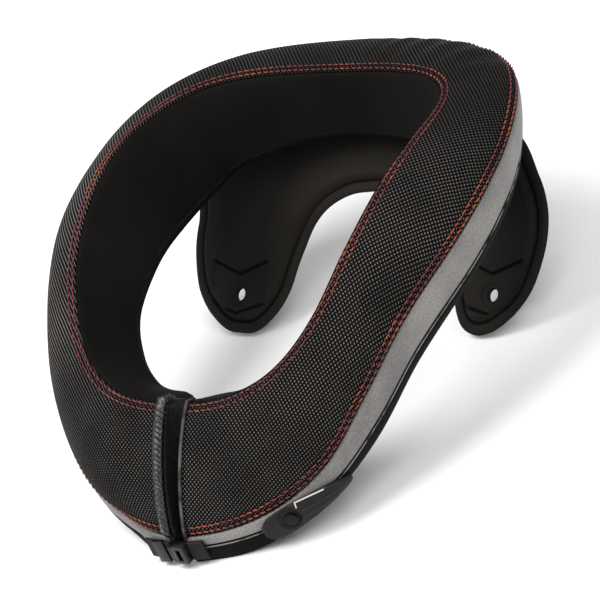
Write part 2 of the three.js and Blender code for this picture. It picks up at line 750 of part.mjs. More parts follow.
// A point of the collar's side between the outer seam (0) and the outer bottom edge (1),
// lifted square off the surface.
function onSide(share, side, drop, lift) {
  const outline = outlineAt(share);
  const raised = insetRing(outline, -lift);
  const f = drop * (STRIP_PARTS + BAND_PARTS);
  const i = Math.min(Math.floor(f), STRIP_PARTS + BAND_PARTS - 1);
  const a = raised[MARK_OUTER + i];
  const b = raised[MARK_OUTER + i + 1];
  return placed(share, side, a.clone().lerp(b, f - i));
}

// The moulded rubber tab: a thin curved plate with rounded ends over the strip and band,
// with a round recess for its rivet.
function sideTab() {
  const rings = [];
  for (let i = 0; i <= TAB_STEPS; i += 1) {
    const t = i / TAB_STEPS;
    const share = TAB_START + (TAB_END - TAB_START) * t;
    const top = smoothAt(TAB_EDGES, 'at', 'top', t);
    const low = smoothAt(TAB_EDGES, 'at', 'low', t);
    const drops = [0, 0.25, 0.5, 0.75, 1].map((part) => top + (low - top) * part);
    const outside = drops.map((drop) => onSide(share, 1, drop, GAP + TAB_THICKNESS));
    const inside = drops.map((drop) => onSide(share, 1, drop, GAP)).reverse();
    rings.push([...outside, ...inside]);
  }
  const tab = solidFrom(loft(rings, ladderCap));
  const recess = rivetDisc(RECESS_DIAMETER, GAP + TAB_THICKNESS - RECESS_DEPTH, 4);
  return geometryFrom(tab.subtract(solidFrom(recess)));
}

// A disc square to the collar's side at the rivet's place, from a lift over the surface.
function rivetDisc(diameter, lift, height) {
  const centre = onSide(RIVET_SHARE, 1, 0.5, lift);
  const above = onSide(RIVET_SHARE, 1, 0.5, lift + height);
  const axis = above.clone().sub(centre).normalize();
  const disc = new THREE.CylinderGeometry(diameter / 2, diameter / 2, height, 20);
  disc.applyQuaternion(new THREE.Quaternion().setFromUnitVectors(new THREE.Vector3(0, 1, 0), axis));
  const middle = centre.addScaledVector(axis, height / 2);
  disc.translate(middle.x, middle.y, middle.z);
  return disc;
}

const neckBrace = new THREE.Group();

neckBrace.add(
  piece('collar_core', collarCore(), 'foam'),
  piece('top_cover', collarSkin(0, MARK_OUTER), 'wovenCover'),
  piece('reflective_strip', collarSkin(MARK_OUTER, MARK_STRIP_LOW), 'reflective'),
  piece('base_band', collarSkin(MARK_STRIP_LOW, MARK_INNER_LOW), 'neoprene'),
  piece('inner_wall', collarSkin(MARK_INNER_LOW, outlineAt(1).length), 'neoprene'),
  piece('slit_facing_left', slitFacing(-1), 'vinyl'),
  piece('slit_facing_right', slitFacing(1), 'vinyl'),
  piece('slit_binding', slitEdgeRoll(-1, BINDING_WIDTH, BINDING_RISE, 0), 'vinyl'),
  piece('slit_piping', slitEdgeRoll(1, PIPING_WIDTH, PIPING_WIDTH / 2, PIPING_WIDTH / 2), 'greyPiping'),
  piece('back_panel', backPanel(), 'neoprene'),
  piece('strap_left', frontBand(
    STRAP_LEFT_END,
    STRAP_LEFT_STOP,
    STRAP_LOW,
    STRAP_WIDTH,
    STRAP_THICKNESS,
    STRAP_BACK,
  ), 'webbing'),
  piece('strap_right', frontBand(
    STRAP_RIGHT_START,
    STRAP_RIGHT_END,
    STRAP_LOW,
    STRAP_WIDTH,
    STRAP_THICKNESS,
    STRAP_BACK,
  ), 'webbing'),
  piece('strap_keeper', strapKeeper(), 'plastic'),
  piece('buckle_socket', buckleSocket(), 'plastic'),
  piece('buckle_plug', bucklePlug(), 'plastic'),
  piece('side_tab', sideTab(), 'rubber'),
  piece('tab_rivet', rivetDisc(
    RIVET_DIAMETER,
    TAB_THICKNESS - RECESS_DEPTH + 2 * GAP,
    RIVET_RISE,
  ), 'rubber'),
);

export default neckBrace;
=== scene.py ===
import math

import bmesh
import bpy
import numpy as np
from mathutils import Matrix, Vector


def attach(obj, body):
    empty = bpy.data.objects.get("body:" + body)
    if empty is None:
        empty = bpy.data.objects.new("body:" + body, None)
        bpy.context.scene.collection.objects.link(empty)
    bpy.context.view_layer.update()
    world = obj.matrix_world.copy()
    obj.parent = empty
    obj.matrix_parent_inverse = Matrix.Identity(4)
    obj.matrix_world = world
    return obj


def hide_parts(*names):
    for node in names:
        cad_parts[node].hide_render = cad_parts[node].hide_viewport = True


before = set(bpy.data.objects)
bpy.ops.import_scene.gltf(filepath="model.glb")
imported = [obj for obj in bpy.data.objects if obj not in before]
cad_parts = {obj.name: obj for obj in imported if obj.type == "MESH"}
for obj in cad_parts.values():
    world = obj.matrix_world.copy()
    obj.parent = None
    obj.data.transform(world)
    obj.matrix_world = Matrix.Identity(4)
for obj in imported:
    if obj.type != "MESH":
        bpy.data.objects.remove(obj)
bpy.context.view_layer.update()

# The collar's foam: one C-shaped roll, open at the front, cut and glued from soft foam.
# Its section changes from the steep front, where it lies on the collarbones, to the
# upright sides and the flatter back. All the covers are laid over this form.
MM = 0.001
NECK_WIDTH = 149.0
NECK_LENGTH = 155.5
SEAM_HEIGHT = 101.0
SEAM_FRONT_HEIGHT = 54.0
WIDEST_SHARE = 0.637
FRONT_ROUNDNESS = 2.6
BACK_ROUNDNESS = 3.4
FRONT_TAPER = 0.03
ROLL_WIDTH = 36.0
ROLL_DROP = 42.0
ROLL_CROWN = 4.0
STRIP_WIDTH = 15.0
BAND_WIDTH = 10.0
SIDE_CROWN = 0.6
LIP_REACH = 26.0
WALL_DEPTH = 32.0
WALL_CROWN = 1.5
KEEL_SAG = 10.0
EDGE_ROUND = 5.0
SLIT_WIDTH = 14.0
SLIT_TOE = 0.1
SLIT_LEAN_RUN = 0.12
LIP_CORNER = 9.0
LIP_CORNER_RUN = 14.0
FRONT_TO_SEAM = 39.0
FRONT_TO_MIDDLE = 116.4
SEAM_STATIONS = 120
PLAN_STEPS = 4000
EASING_PASSES = 30

# How far the two ends of the slit lean along X, in mm: at the neck and at the foot
SLIT_LEAN = {-1: (1.8, 4.0), 1: (1.6, -0.8)}

# Height of the inner top seam: share of the neck length, share of the whole rise
SEAM_RISE = [
    (0.0, 0.0), (0.07, 0.138), (0.18, 0.383), (0.33, 0.702),
    (0.52, 0.936), (0.68, 1.0), (0.85, 0.964), (1.0, 0.936),
]

# Section of the roll from the slit to the middle of the back, in shares of the sizes above
SECTION_COLUMNS = (
    "at", "cover_out", "cover_drop", "strip_out", "strip_drop", "band_out",
    "band_drop", "lip_in", "wall_drop", "keel_at", "keel_sag",
)
SECTIONS = [
    (0.0, 0.89, 1.01, 0.07, 0.27, 0.0, 0.85, 1.0, 0.39, 0.15, 1.0),
    (0.1, 0.78, 0.98, 0.05, 0.33, -0.2, 0.8, 0.94, 0.52, 0.2, 0.8),
    (0.2, 0.69, 0.865, 0.03, 0.53, -0.4, 0.6, 0.85, 0.66, 0.3, 0.5),
    (0.27, 0.645, 0.695, 0.0, 0.8, -0.43, 0.75, 0.77, 0.8, 0.4, 0.4),
    (0.35, 0.645, 0.63, -0.02, 0.9, -0.43, 0.75, 0.71, 0.93, 0.5, 0.4),
    (0.5, 0.815, 0.58, -0.07, 0.97, -0.45, 0.7, 0.91, 1.0, 0.5, 0.4),
    (0.6, 0.85, 0.44, -0.15, 1.0, -0.46, 0.7, 0.92, 1.0, 0.5, 0.35),
    (0.7, 0.815, 0.245, -0.3, 1.0, -0.47, 0.7, 0.85, 0.97, 0.5, 0.3),
    (0.8, 0.875, 0.255, -0.5, 0.97, -0.5, 0.7, 0.42, 0.97, 0.5, 0.3),
    (1.0, 1.0, 0.285, -0.4, 0.93, -0.5, 0.7, 0.1, 1.0, 0.5, 0.3),
]
ALONG_STEPS = 240
COVER_PARTS = 22
STRIP_PARTS = 8
BAND_PARTS = 6
UNDER_PARTS = 12
WALL_PARTS = 16
OUTER = COVER_PARTS
STRIP_LOW = OUTER + STRIP_PARTS
INNER_LOW = STRIP_LOW + BAND_PARTS + UNDER_PARTS


def smooth_at(rows, column, t):
    """Value at t on a smooth curve through the rows' (first column, column) pairs."""
    last = len(rows) - 1
    i = 0
    while i < last - 1 and t >= rows[i + 1][0]:
        i += 1

    def slope(k):
        before, after = rows[max(k - 1, 0)], rows[min(k + 1, last)]
        return (after[column] - before[column]) / (after[0] - before[0])

    a, b = rows[i], rows[i + 1]
    h = b[0] - a[0]
    s = (t - a[0]) / h
    return (
        (2 * s**3 - 3 * s**2 + 1) * a[column] + (s**3 - 2 * s**2 + s) * h * slope(i)
        + (3 * s**2 - 2 * s**3) * b[column] + (s**3 - s**2) * h * slope(i + 1)
    )


def step(value, low, high):
    """0 below low, 1 above high and a smooth change between."""
    t = np.clip((value - low) / (high - low), 0, 1)
    return t * t * (3 - 2 * t)


def plan_point(angle):
    """The neck opening's seam seen from above, from the slit round to the back."""
    c = -math.cos(angle)
    power = 2 / (FRONT_ROUNDNESS if c < 0 else BACK_ROUNDNESS)
    wide_y = WIDEST_SHARE * NECK_LENGTH
    reach = -wide_y if c < 0 else NECK_LENGTH - wide_y
    y = wide_y + reach * abs(c) ** power
    taper = FRONT_TAPER * math.sin(math.pi * min(y / wide_y, 1))
    return NECK_WIDTH / 2 * (1 - taper) * abs(math.sin(angle)) ** power, y


def seam_stations():
    """Even places along one half of the seam, the outward direction at each, its length."""
    fine = np.array([plan_point(math.pi * i / PLAN_STEPS) for i in range(PLAN_STEPS + 1)])
    travel = np.r_[0, np.cumsum(np.linalg.norm(np.diff(fine, axis=0), axis=1))]
    at = np.linspace(0, travel[-1], SEAM_STATIONS + 1)
    xy = np.stack([np.interp(at, travel, fine[:, k]) for k in (0, 1)], 1)
    rise = [smooth_at(SEAM_RISE, 1, y / NECK_LENGTH) for y in xy[:, 1]]
    z = SEAM_FRONT_HEIGHT + (SEAM_HEIGHT - SEAM_FRONT_HEIGHT) * np.array(rise)
    out = np.zeros_like(xy)
    out[1:-1, 0] = xy[2:, 1] - xy[:-2, 1]
    out[1:-1, 1] = xy[:-2, 0] - xy[2:, 0]
    out[0] = (-SLIT_TOE, -1)
    out[-1] = (0, 1)
    out /= np.linalg.norm(out, axis=1)[:, None]
    for _ in range(EASING_PASSES):
        eased = out.copy()
        eased[1:-1] += out[:-2] + out[2:]
        out = eased / np.linalg.norm(eased, axis=1)[:, None]
    return np.c_[xy, z], out, travel[-1]


SEAM, SEAM_OUT, SEAM_LENGTH = seam_stations()
SLIT_SHARE = SLIT_WIDTH / 2 / SEAM_LENGTH


def seam_at(share, side):
    """A place on the seam and its outward direction; side is -1 or 1."""
    f = min(max(share, 0), 1) * SEAM_STATIONS
    i = min(int(f), SEAM_STATIONS - 1)
    place = SEAM[i] + (SEAM[i + 1] - SEAM[i]) * (f - i)
    out = SEAM_OUT[i] + (SEAM_OUT[i + 1] - SEAM_OUT[i]) * (f - i)
    out = out / np.linalg.norm(out)
    place = np.array([place[0] * side, place[1] + FRONT_TO_SEAM - FRONT_TO_MIDDLE, place[2]])
    return place, np.array([out[0] * side, out[1], 0.0])


def placed(share, side, points):
    """Section points (out from the seam, up from it) set in space, in mm."""
    place, out = seam_at(share, side)
    points = np.atleast_2d(points)
    near_slit = max(0.0, 1 - max(share - SLIT_SHARE, 0) / SLIT_LEAN_RUN) ** 2
    at_top, at_foot = SLIT_LEAN[side]
    fall = np.clip(-points[:, 1:] / ROLL_DROP, 0, 1)
    lean = near_slit * (at_top + (at_foot - at_top) * fall)
    upward, sideways = np.array([0, 0, 1.0]), np.array([1.0, 0, 0])
    return place + out * points[:, :1] + upward * points[:, 1:] + sideways * lean


def bulged_span(a, b, count, bulge, peak, fullness):
    """Points from a towards b that swell by bulge, most at the share called peak."""
    along = b - a
    square = np.array([-along[1], along[0]]) / np.linalg.norm(along)
    t = np.arange(count)[:, None] / count
    lift = np.abs(np.sin(np.pi * t ** (math.log(0.5) / math.log(peak)))) ** fullness
    return a + along * t + square * bulge * lift


def outline_at(share):
    """The roll's section: from the inner seam over the top, down, under and back up."""
    row = {name: smooth_at(SECTIONS, k, share) for k, name in enumerate(SECTION_COLUMNS) if k}
    from_slit = (share - SLIT_SHARE) * SEAM_LENGTH / LIP_CORNER_RUN
    corner_cut = LIP_CORNER * (1 - min(max(from_slit, 0), 1)) ** 2
    inner = np.zeros(2)
    outer = np.array([row["cover_out"] * ROLL_WIDTH, -row["cover_drop"] * ROLL_DROP])
    strip_low = outer + np.array([row["strip_out"], -row["strip_drop"]]) * STRIP_WIDTH
    band_low = strip_low + np.array([row["band_out"], -row["band_drop"]]) * BAND_WIDTH
    inner_low = np.array([corner_cut - row["lip_in"] * LIP_REACH, -row["wall_drop"] * WALL_DEPTH])

    def toward(a, b, distance):
        return a + (b - a) * distance / np.linalg.norm(b - a)

    under_end = toward(inner_low, band_low, EDGE_ROUND)
    wall_start = toward(inner_low, inner, EDGE_ROUND)
    tip = 0.25 * (under_end + wall_start) + 0.5 * inner_low
    points = np.vstack([
        bulged_span(inner, outer, COVER_PARTS, ROLL_CROWN, 0.5, 0.7),
        bulged_span(outer, strip_low, STRIP_PARTS, SIDE_CROWN, 0.5, 1),
        bulged_span(strip_low, band_low, BAND_PARTS, SIDE_CROWN, 0.5, 1),
        bulged_span(band_low, under_end, UNDER_PARTS - 1, row["keel_sag"] * KEEL_SAG,
                    row["keel_at"], 0.8),
        [under_end],
        [tip],
        bulged_span(wall_start, inner, WALL_PARTS - 1, WALL_CROWN, 0.5, 1),
    ])
    points[:, 1] = np.maximum(points[:, 1], -seam_at(share, 1)[0][2])
    return points


def stations(count):
    """(share, side) from the slit's -X edge round the back to its +X edge."""
    rows = []
    for k in range(count + 1):
        round_ = 2 * k / count - 1
        share = SLIT_SHARE + (1 - SLIT_SHARE) * (1 - abs(round_))
        rows.append((share, -1 if round_ < 0 else 1))
    return rows


def bake(piece):
    """Turn a piece's modifiers into its plain mesh."""
    bpy.context.view_layer.update()
    made = bpy.data.meshes.new_from_object(piece.evaluated_get(bpy.context.evaluated_depsgraph_get()))
    piece.modifiers.clear()
    piece.data = made
    return made


def mesh_object(name, points_mm, faces, smooth=True, closed=True):
    """A mesh from points in mm; a closed body gets all its faces turned outwards."""
    mesh = bpy.data.meshes.new(name)
    mesh.from_pydata((np.asarray(points_mm) * MM).tolist(), [], faces)
    mesh.validate()
    if closed:
        body = bmesh.new()
        body.from_mesh(mesh)
        bmesh.ops.recalc_face_normals(body, faces=body.faces)
        body.to_mesh(mesh)
        body.free()
    mesh.update()
    mesh.polygons.foreach_set("use_smooth", [smooth] * len(mesh.polygons))
    piece = bpy.data.objects.new(name, mesh)
    bpy.context.scene.collection.objects.link(piece)
    return piece


def grid_faces(rows, columns, wrap=False):
    """Quads between the rows of a grid; wrap joins its last column to its first."""
    last = columns if wrap else columns - 1
    return [
        (r * columns + c, (r + 1) * columns + c,
         (r + 1) * columns + (c + 1) % columns, r * columns + (c + 1) % columns)
        for r in range(rows - 1) for c in range(last)
    ]


def full_ends(rows, columns):
    """Two many-sided faces that close the ends of a wrapped grid."""
    return [tuple(range(columns)), tuple((rows - 1) * columns + c for c in range(columns))]


def thin_ends(rows, columns):
    """Rows of quads that close the ends of a flat body whose grid runs there and back."""
    return [
        (base + c, base + c + 1, base + columns - 2 - c, base + columns - 1 - c)
        for base in (0, (rows - 1) * columns) for c in range(columns // 2 - 1)
    ]


def unit(v):
    return v / np.maximum(np.linalg.norm(v, axis=-1, keepdims=True), 1e-9)


def grid_normals(grid, wrap=False):
    """Outward directions of a grid of points whose rows run along the collar."""
    along = np.gradient(grid, axis=0)
    if wrap:
        across = (np.roll(grid, -1, 1) - np.roll(grid, 1, 1)) / 2
    else:
        across = np.gradient(grid, axis=1)
    return unit(np.cross(along, across))


PAD_STATIONS = stations(ALONG_STEPS)
roll = np.array([placed(share, side, outline_at(share)) for share, side in PAD_STATIONS])
AROUND = roll.shape[1]

# The worn-in form: on the -X front the cover rolls over its outer seam, at the back it is
# fuller, and on the -X side the lining hangs a little lower.
ROLLED_SEAM_IN = 3.6
ROLLED_FULLNESS = 4.2
BACK_FULLNESS = 2.0
CORNER_BUMPS = 0.5
CORNER_BUMP_RUN = 11.0
PUFF_PEAK = 1.6
PUFF_FULLNESS = 0.6
LINING_HANGS = 4.5
LINING_HANG_SPREAD = 6
section_normals = grid_normals(roll, wrap=True)
for k, (share, side) in enumerate(PAD_STATIONS):
    out = seam_at(share, side)[1]
    rolled = step(share, 0.04, 0.11) * (1 - step(share, 0.42, 0.6)) if side < 0 else 0.0
    full = rolled * ROLLED_FULLNESS + step(share, 0.68, 0.82) * BACK_FULLNESS
    if side > 0:
        corner = step(share, 0.68, 0.78) * (1 - step(share, 0.9, 0.99))
        bumps = math.sin(2 * math.pi * share * SEAM_LENGTH / CORNER_BUMP_RUN)
        full += CORNER_BUMPS * corner * bumps
    t = np.arange(OUTER + 1) / OUTER
    puff = np.abs(np.sin(math.pi * t**PUFF_PEAK)) ** PUFF_FULLNESS
    roll[k, :OUTER + 1] += section_normals[k, :OUTER + 1] * (full * puff)[:, None]
    inward = np.interp(np.arange(AROUND), [0, OUTER, STRIP_LOW + BAND_PARTS, INNER_LOW], [0, 1, 1, 0])
    inward[INNER_LOW:] = 0
    roll[k] -= out * (rolled * ROLLED_SEAM_IN * inward)[:, None]
    if side < 0:
        hang = LINING_HANGS * step(share, 0.45, 0.6) * (1 - step(share, 0.8, 0.95))
        from_low_edge = (np.arange(AROUND) - INNER_LOW - 1) / LINING_HANG_SPREAD
        roll[k, :, 2] -= hang * np.exp(-(from_low_edge**2))

# The foam swells its covers between the seams that hold it: a short cloth relaxation of the
# closed roll, pinned at the seams and the underside, gives the covers their soft fullness.
SWELL_CAP = 1.6
SWELL_FRAMES = 14
SWELL_PRESSURE = 4.0
COVER_MASS = 0.3


def swell(grid):
    """The roll's grid after a few frames of cloth under pressure from inside."""
    rows, columns = grid.shape[:2]
    faces = grid_faces(rows, columns, wrap=True) + full_ends(rows, columns)
    body = mesh_object("collar_swell", grid.reshape(-1, 3), faces)
    pins = body.vertex_groups.new(name="seams")
    held = {0, OUTER, STRIP_LOW, STRIP_LOW + BAND_PARTS}
    held.update(range(STRIP_LOW + BAND_PARTS, INNER_LOW + 3))
    for r in range(rows):
        for c in range(columns):
            if c in held or r < 2 or r > rows - 3:
                pins.add([r * columns + c], 1.0, "REPLACE")
    cloth = body.modifiers.new("cloth", "CLOTH")
    cloth.settings.quality = 4
    cloth.settings.mass = COVER_MASS
    cloth.settings.use_pressure = True
    cloth.settings.uniform_pressure_force = SWELL_PRESSURE
    cloth.settings.vertex_group_mass = "seams"
    cloth.settings.effector_weights.gravity = 0
    cloth.point_cache.frame_start = 1
    cloth.point_cache.frame_end = SWELL_FRAMES
    scene = bpy.context.scene
    for number in range(1, SWELL_FRAMES + 1):
        scene.frame_set(number)
    evaluated = body.evaluated_get(bpy.context.evaluated_depsgraph_get())
    moved = np.empty(len(body.data.vertices) * 3)
    evaluated.to_mesh().vertices.foreach_get("co", moved)
    evaluated.to_mesh_clear()
    bpy.data.objects.remove(body)
    scene.frame_set(1)
    shift = moved.reshape(rows, columns, 3) / MM - grid
    size = np.linalg.norm(shift, axis=2, keepdims=True)
    return grid + shift * np.minimum(1, SWELL_CAP / np.maximum(size, 1e-6))


roll = swell(roll)
roll[..., 2] = np.maximum(roll[..., 2], 0.0)
roll_out = grid_normals(roll, wrap=True)
PAD_DEPTH = 2.3
pad_grid = roll - roll_out * PAD_DEPTH
pad_faces = grid_faces(len(pad_grid), AROUND, wrap=True) + full_ends(len(pad_grid), AROUND)
collar_pad = mesh_object("collar_pad", pad_grid.reshape(-1, 3), pad_faces)
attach(collar_pad, "root")
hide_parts("collar_core")


class Nodes:
    """A short way to build one material's or group's node tree."""

    def __init__(self, tree):
        self.tree = tree

    def add(self, kind, inputs=None, **settings):
        node = self.tree.nodes.new(kind)
        for name, value in settings.items():
            setattr(node, name, value)
        for name, value in (inputs or {}).items():
            self.feed(node.inputs[name], value)
        return node

    def feed(self, socket, value):
        """Link a socket to another one, or set its plain value."""
        if isinstance(value, bpy.types.NodeSocket):
            self.tree.links.new(value, socket)
        else:
            socket.default_value = value

    def math(self, operation, a, b=0.0, clamp=False):
        node = self.add("ShaderNodeMath", {0: a, 1: b}, operation=operation, use_clamp=clamp)
        return node.outputs[0]

    def ramp(self, value, low, high, to_low=0.0, to_high=1.0):
        node = self.add("ShaderNodeMapRange", {
            "Value": value, "From Min": low, "From Max": high, "To Min": to_low, "To Max": to_high,
        }, interpolation_type="SMOOTHSTEP")
        return node.outputs["Result"]

    def blend(self, factor, a, b, mode="MIX"):
        node = self.add("ShaderNodeMix", {0: factor, 6: a, 7: b}, data_type="RGBA", blend_type=mode)
        return node.outputs[2]

    def noise(self, vector, scale, detail=3.0, roughness=0.5):
        node = self.add("ShaderNodeTexNoise", {
            "Vector": vector, "Scale": scale, "Detail": detail, "Roughness": roughness,
        })
        return node.outputs["Fac"]

    def bump(self, height, strength, distance, below=None):
        """Normals of a relief, laid over the normals of the relief below it."""
        inputs = {"Height": height, "Strength": strength, "Distance": distance}
        if below is not None:
            inputs["Normal"] = below
        return self.add("ShaderNodeBump", inputs).outputs["Normal"]

    def axes(self, vector):
        return self.add("ShaderNodeSeparateXYZ", {"Vector": vector}).outputs

    def uv(self, name):
        return self.add("ShaderNodeUVMap", uv_map=name).outputs["UV"]

    def place(self):
        return self.add("ShaderNodeTexCoord").outputs["Object"]


def material(name, **values):
    """A new material: its Principled shader with plain values set on its own sockets."""
    made = bpy.data.materials.new(name)
    made.use_nodes = True
    nodes = Nodes(made.node_tree)
    shader = made.node_tree.nodes["Principled BSDF"]
    for socket, value in values.items():
        shader.inputs[socket.replace("_", " ")].default_value = value
    return made, nodes, shader


def colour(r, g, b):
    return (r, g, b, 1.0)


foam, nodes, shader = material("open_cell_foam", Roughness=0.95)
cells = nodes.noise(nodes.place(), 900.0, 2.0)
foam_colour = nodes.blend(cells, colour(0.03, 0.03, 0.032), colour(0.07, 0.07, 0.075))
nodes.feed(shader.inputs["Base Color"], foam_colour)
collar_pad.data.materials.append(foam)

# The top cover: one piece of coarse black ballistic weave with a light yarn that shows as
# rows of dots, cut on the straight so that the rows cross the collar at 45 degrees, folded
# under at both seams and stitched down twice.
WEAVE_PITCH = 1.36 * MM
COVER_THICKNESS = 1.6
EDGE_GAP = 0.1
EDGE_TUCK = 0.5
TOPSTITCH_FIRST = 1.5
TOPSTITCH_SECOND = 3.8


def arc_lengths(grid):
    """Distance along each row of a grid of points from its first column."""
    steps = np.linalg.norm(np.diff(grid, axis=1), axis=2)
    return np.concatenate([np.zeros((len(grid), 1)), np.cumsum(steps, axis=1)], axis=1)


def skin(name, first, last, thickness):
    """One cover of the collar between two marks of the section, as a closed thin body."""
    columns = np.arange(first, last + 1) % AROUND
    outer = roll[:, columns].copy()
    out = roll_out[:, columns].copy()
    travel = arc_lengths(outer)
    outer[:, 0] += (outer[:, 1] - outer[:, 0]) * EDGE_GAP
    outer[:, -1] += (outer[:, -2] - outer[:, -1]) * EDGE_GAP
    sunk = np.zeros(len(columns))
    sunk[[0, -1]] = EDGE_TUCK
    inner = outer - out * thickness
    outer = outer - out * sunk[None, :, None]
    ring = np.concatenate([outer, inner[:, ::-1]], axis=1)
    ring[..., 2] = np.maximum(ring[..., 2], 0.0)
    width = ring.shape[1]
    faces = grid_faces(len(ring), width, wrap=True) + thin_ends(len(ring), width)
    piece = mesh_object(name, ring.reshape(-1, 3), faces)
    plan = SEAM_PLAN[:, None, :] + SEAM_DIRECTION[:, None, :] * travel[..., None]
    edges = np.stack([travel, travel[:, -1:] - travel], axis=2)
    along = np.stack([np.broadcast_to(SEAM_TRAVEL[:, None], travel.shape), travel], axis=2)
    for map_name, grid in (("cloth", plan), ("seams", edges), ("along", along)):
        lay_uv(piece, map_name, np.concatenate([grid, grid[:, ::-1]], axis=1) * MM)
    return piece


def lay_uv(piece, name, grid):
    """Give a piece a UV map with one pair of values for each of its points."""
    layer = piece.data.uv_layers.new(name=name)
    corner = np.empty(len(piece.data.loops), dtype=np.int32)
    piece.data.loops.foreach_get("vertex_index", corner)
    layer.data.foreach_set("uv", grid.reshape(-1, 2)[corner].astype(np.float32).ravel())


seam_line = roll[:, 0]
SEAM_PLAN = seam_line[:, :2]
SEAM_DIRECTION = np.array([seam_at(share, side)[1][:2] for share, side in PAD_STATIONS])
SEAM_TRAVEL = np.r_[0, np.cumsum(np.linalg.norm(np.diff(seam_line, axis=0), axis=1))]

top_cover = skin("woven_top_cover", 0, OUTER, COVER_THICKNESS)


def weave_dots():
    """Rows of raised yarn dots at 45 degrees on a cloth map in metres."""
    tree = bpy.data.node_groups.new("weave_dots", "ShaderNodeTree")
    for name, way, kind in (("Cloth", "INPUT", "Vector"), ("Pitch", "INPUT", "Float"),
                            ("Lines", "INPUT", "Float"), ("Dots", "OUTPUT", "Float"),
                            ("Height", "OUTPUT", "Float")):
        tree.interface.new_socket(name, in_out=way, socket_type="NodeSocket" + kind)
    n = Nodes(tree)
    source = tree.nodes.new("NodeGroupInput")
    wobble = n.add("ShaderNodeTexNoise", {"Vector": source.outputs["Cloth"], "Scale": 60.0})
    shift = n.add("ShaderNodeVectorMath", {0: wobble.outputs["Color"], 1: (0.0012, 0.0012, 0)},
                  operation="MULTIPLY")
    moved = n.add("ShaderNodeVectorMath", {0: source.outputs["Cloth"], 1: shift.outputs[0]})
    xyz = n.axes(moved.outputs[0])
    turn = math.sqrt(0.5)
    per_pitch = n.math("DIVIDE", 2 * math.pi, source.outputs["Pitch"])
    rows = n.math("MULTIPLY", n.math("SUBTRACT", xyz["X"], xyz["Y"]), turn)
    ranks = n.math("MULTIPLY", n.math("ADD", xyz["X"], xyz["Y"]), turn)
    wave_a = n.math("COSINE", n.math("MULTIPLY", rows, per_pitch))
    wave_b = n.math("COSINE", n.math("MULTIPLY", ranks, per_pitch))
    merged = n.ramp(source.outputs["Lines"], 0.0, 1.0, 0.95, 0.3)
    both = n.math("ADD", n.math("MULTIPLY", wave_a, merged),
                  n.math("MULTIPLY", wave_b, n.math("SUBTRACT", 2.0, merged)))
    end = tree.nodes.new("NodeGroupOutput")
    n.feed(end.inputs["Dots"], n.ramp(both, 0.35, 1.7))
    n.feed(end.inputs["Height"], n.ramp(both, -1.6, 1.8))
    return tree


weave, nodes, shader = material("ballistic_weave", Roughness=0.62, Specular_IOR_Level=0.05)
cloth_map = nodes.uv("cloth")
plan = nodes.axes(cloth_map)
to_back = nodes.math("SUBTRACT", nodes.math("MULTIPLY", plan["Y"], 0.8), plan["X"])
lines = nodes.ramp(to_back, -0.075, 0.005)
dots = nodes.add("ShaderNodeGroup", {"Cloth": cloth_map, "Pitch": WEAVE_PITCH, "Lines": lines},
                 node_tree=weave_dots()).outputs

# Tones of the light yarn: wear in patches, with painted shade that darkens it towards the
# back and on the -X front, and painted light that brightens it on the -X side
worn = nodes.ramp(nodes.noise(cloth_map, 35.0), 0.3, 0.7, 0.6, 1.15)
grit = nodes.ramp(nodes.noise(cloth_map, 1400.0, 2.0), 0.25, 0.75, 0.6, 1.2)
yarn_wear_light_and_shade = nodes.math("MULTIPLY", worn, nodes.ramp(plan["Y"], 0.0, 0.08, 0.97, 0.24))
left_side = nodes.ramp(plan["X"], -0.045, -0.005, 1.0, 0.0)
left_light_and_shade = nodes.math("MULTIPLY", left_side, nodes.ramp(plan["Y"], -0.08, -0.045, -0.42, 0.35))
yarn_wear_light_and_shade = nodes.math("MULTIPLY", yarn_wear_light_and_shade, nodes.math("ADD", left_light_and_shade, 1.0))
light = nodes.math("MULTIPLY", dots["Dots"], nodes.math("MULTIPLY", yarn_wear_light_and_shade, grit), clamp=True)
weave_colour = nodes.blend(light, colour(0.0025, 0.0022, 0.0019), colour(0.135, 0.126, 0.12))
nodes.feed(shader.inputs["Base Color"], weave_colour)
from_seams = nodes.axes(nodes.uv("seams"))
nearest = nodes.math("MINIMUM", from_seams["X"], from_seams["Y"])


def groove(at_mm, half_mm):
    """0 along a row of stitches and 1 away from it."""
    away = nodes.math("ABSOLUTE", nodes.math("SUBTRACT", nearest, at_mm * MM))
    return nodes.ramp(away, 0.0, half_mm * MM)


pressed = nodes.math("MULTIPLY", groove(TOPSTITCH_FIRST, 0.9), groove(TOPSTITCH_SECOND, 1.0))
weave_relief = nodes.bump(dots["Height"], 0.7, 0.0005)
nodes.feed(shader.inputs["Normal"], nodes.bump(pressed, 0.8, 0.0009, weave_relief))
nodes.feed(shader.inputs["Roughness"], nodes.ramp(dots["Dots"], 0.0, 1.0, 0.75, 0.5))
top_cover.data.materials.append(weave)
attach(top_cover, "root")
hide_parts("top_cover")

# The topstitching: two rows of thick red lock stitches along both edges of the top cover,
# sewn through its folded edge in a thread that shifts between wine red and orange.
STITCH_PITCH = 3.0
STITCH_LENGTH = 2.7
STITCH_WIDTH = 0.68
STITCH_SLANT = 0.12
STITCH_SEED = 7
THREAD_LIFT = 0.12


def row_on_cover(distance, from_outer):
    """A line over the cover at a distance in mm from its inner or outer seam."""
    cover = roll[:, :OUTER + 1]
    out = roll_out[:, :OUTER + 1]
    travel = arc_lengths(cover)
    line = []
    for r in range(1, len(cover) - 1):
        at = travel[r, -1] - distance if from_outer else distance
        point = [np.interp(at, travel[r], cover[r, :, k]) for k in range(3)]
        lift = [np.interp(at, travel[r], out[r, :, k]) for k in range(3)]
        line.append(np.array(point) + np.array(lift) * THREAD_LIFT)
    return np.array(line)


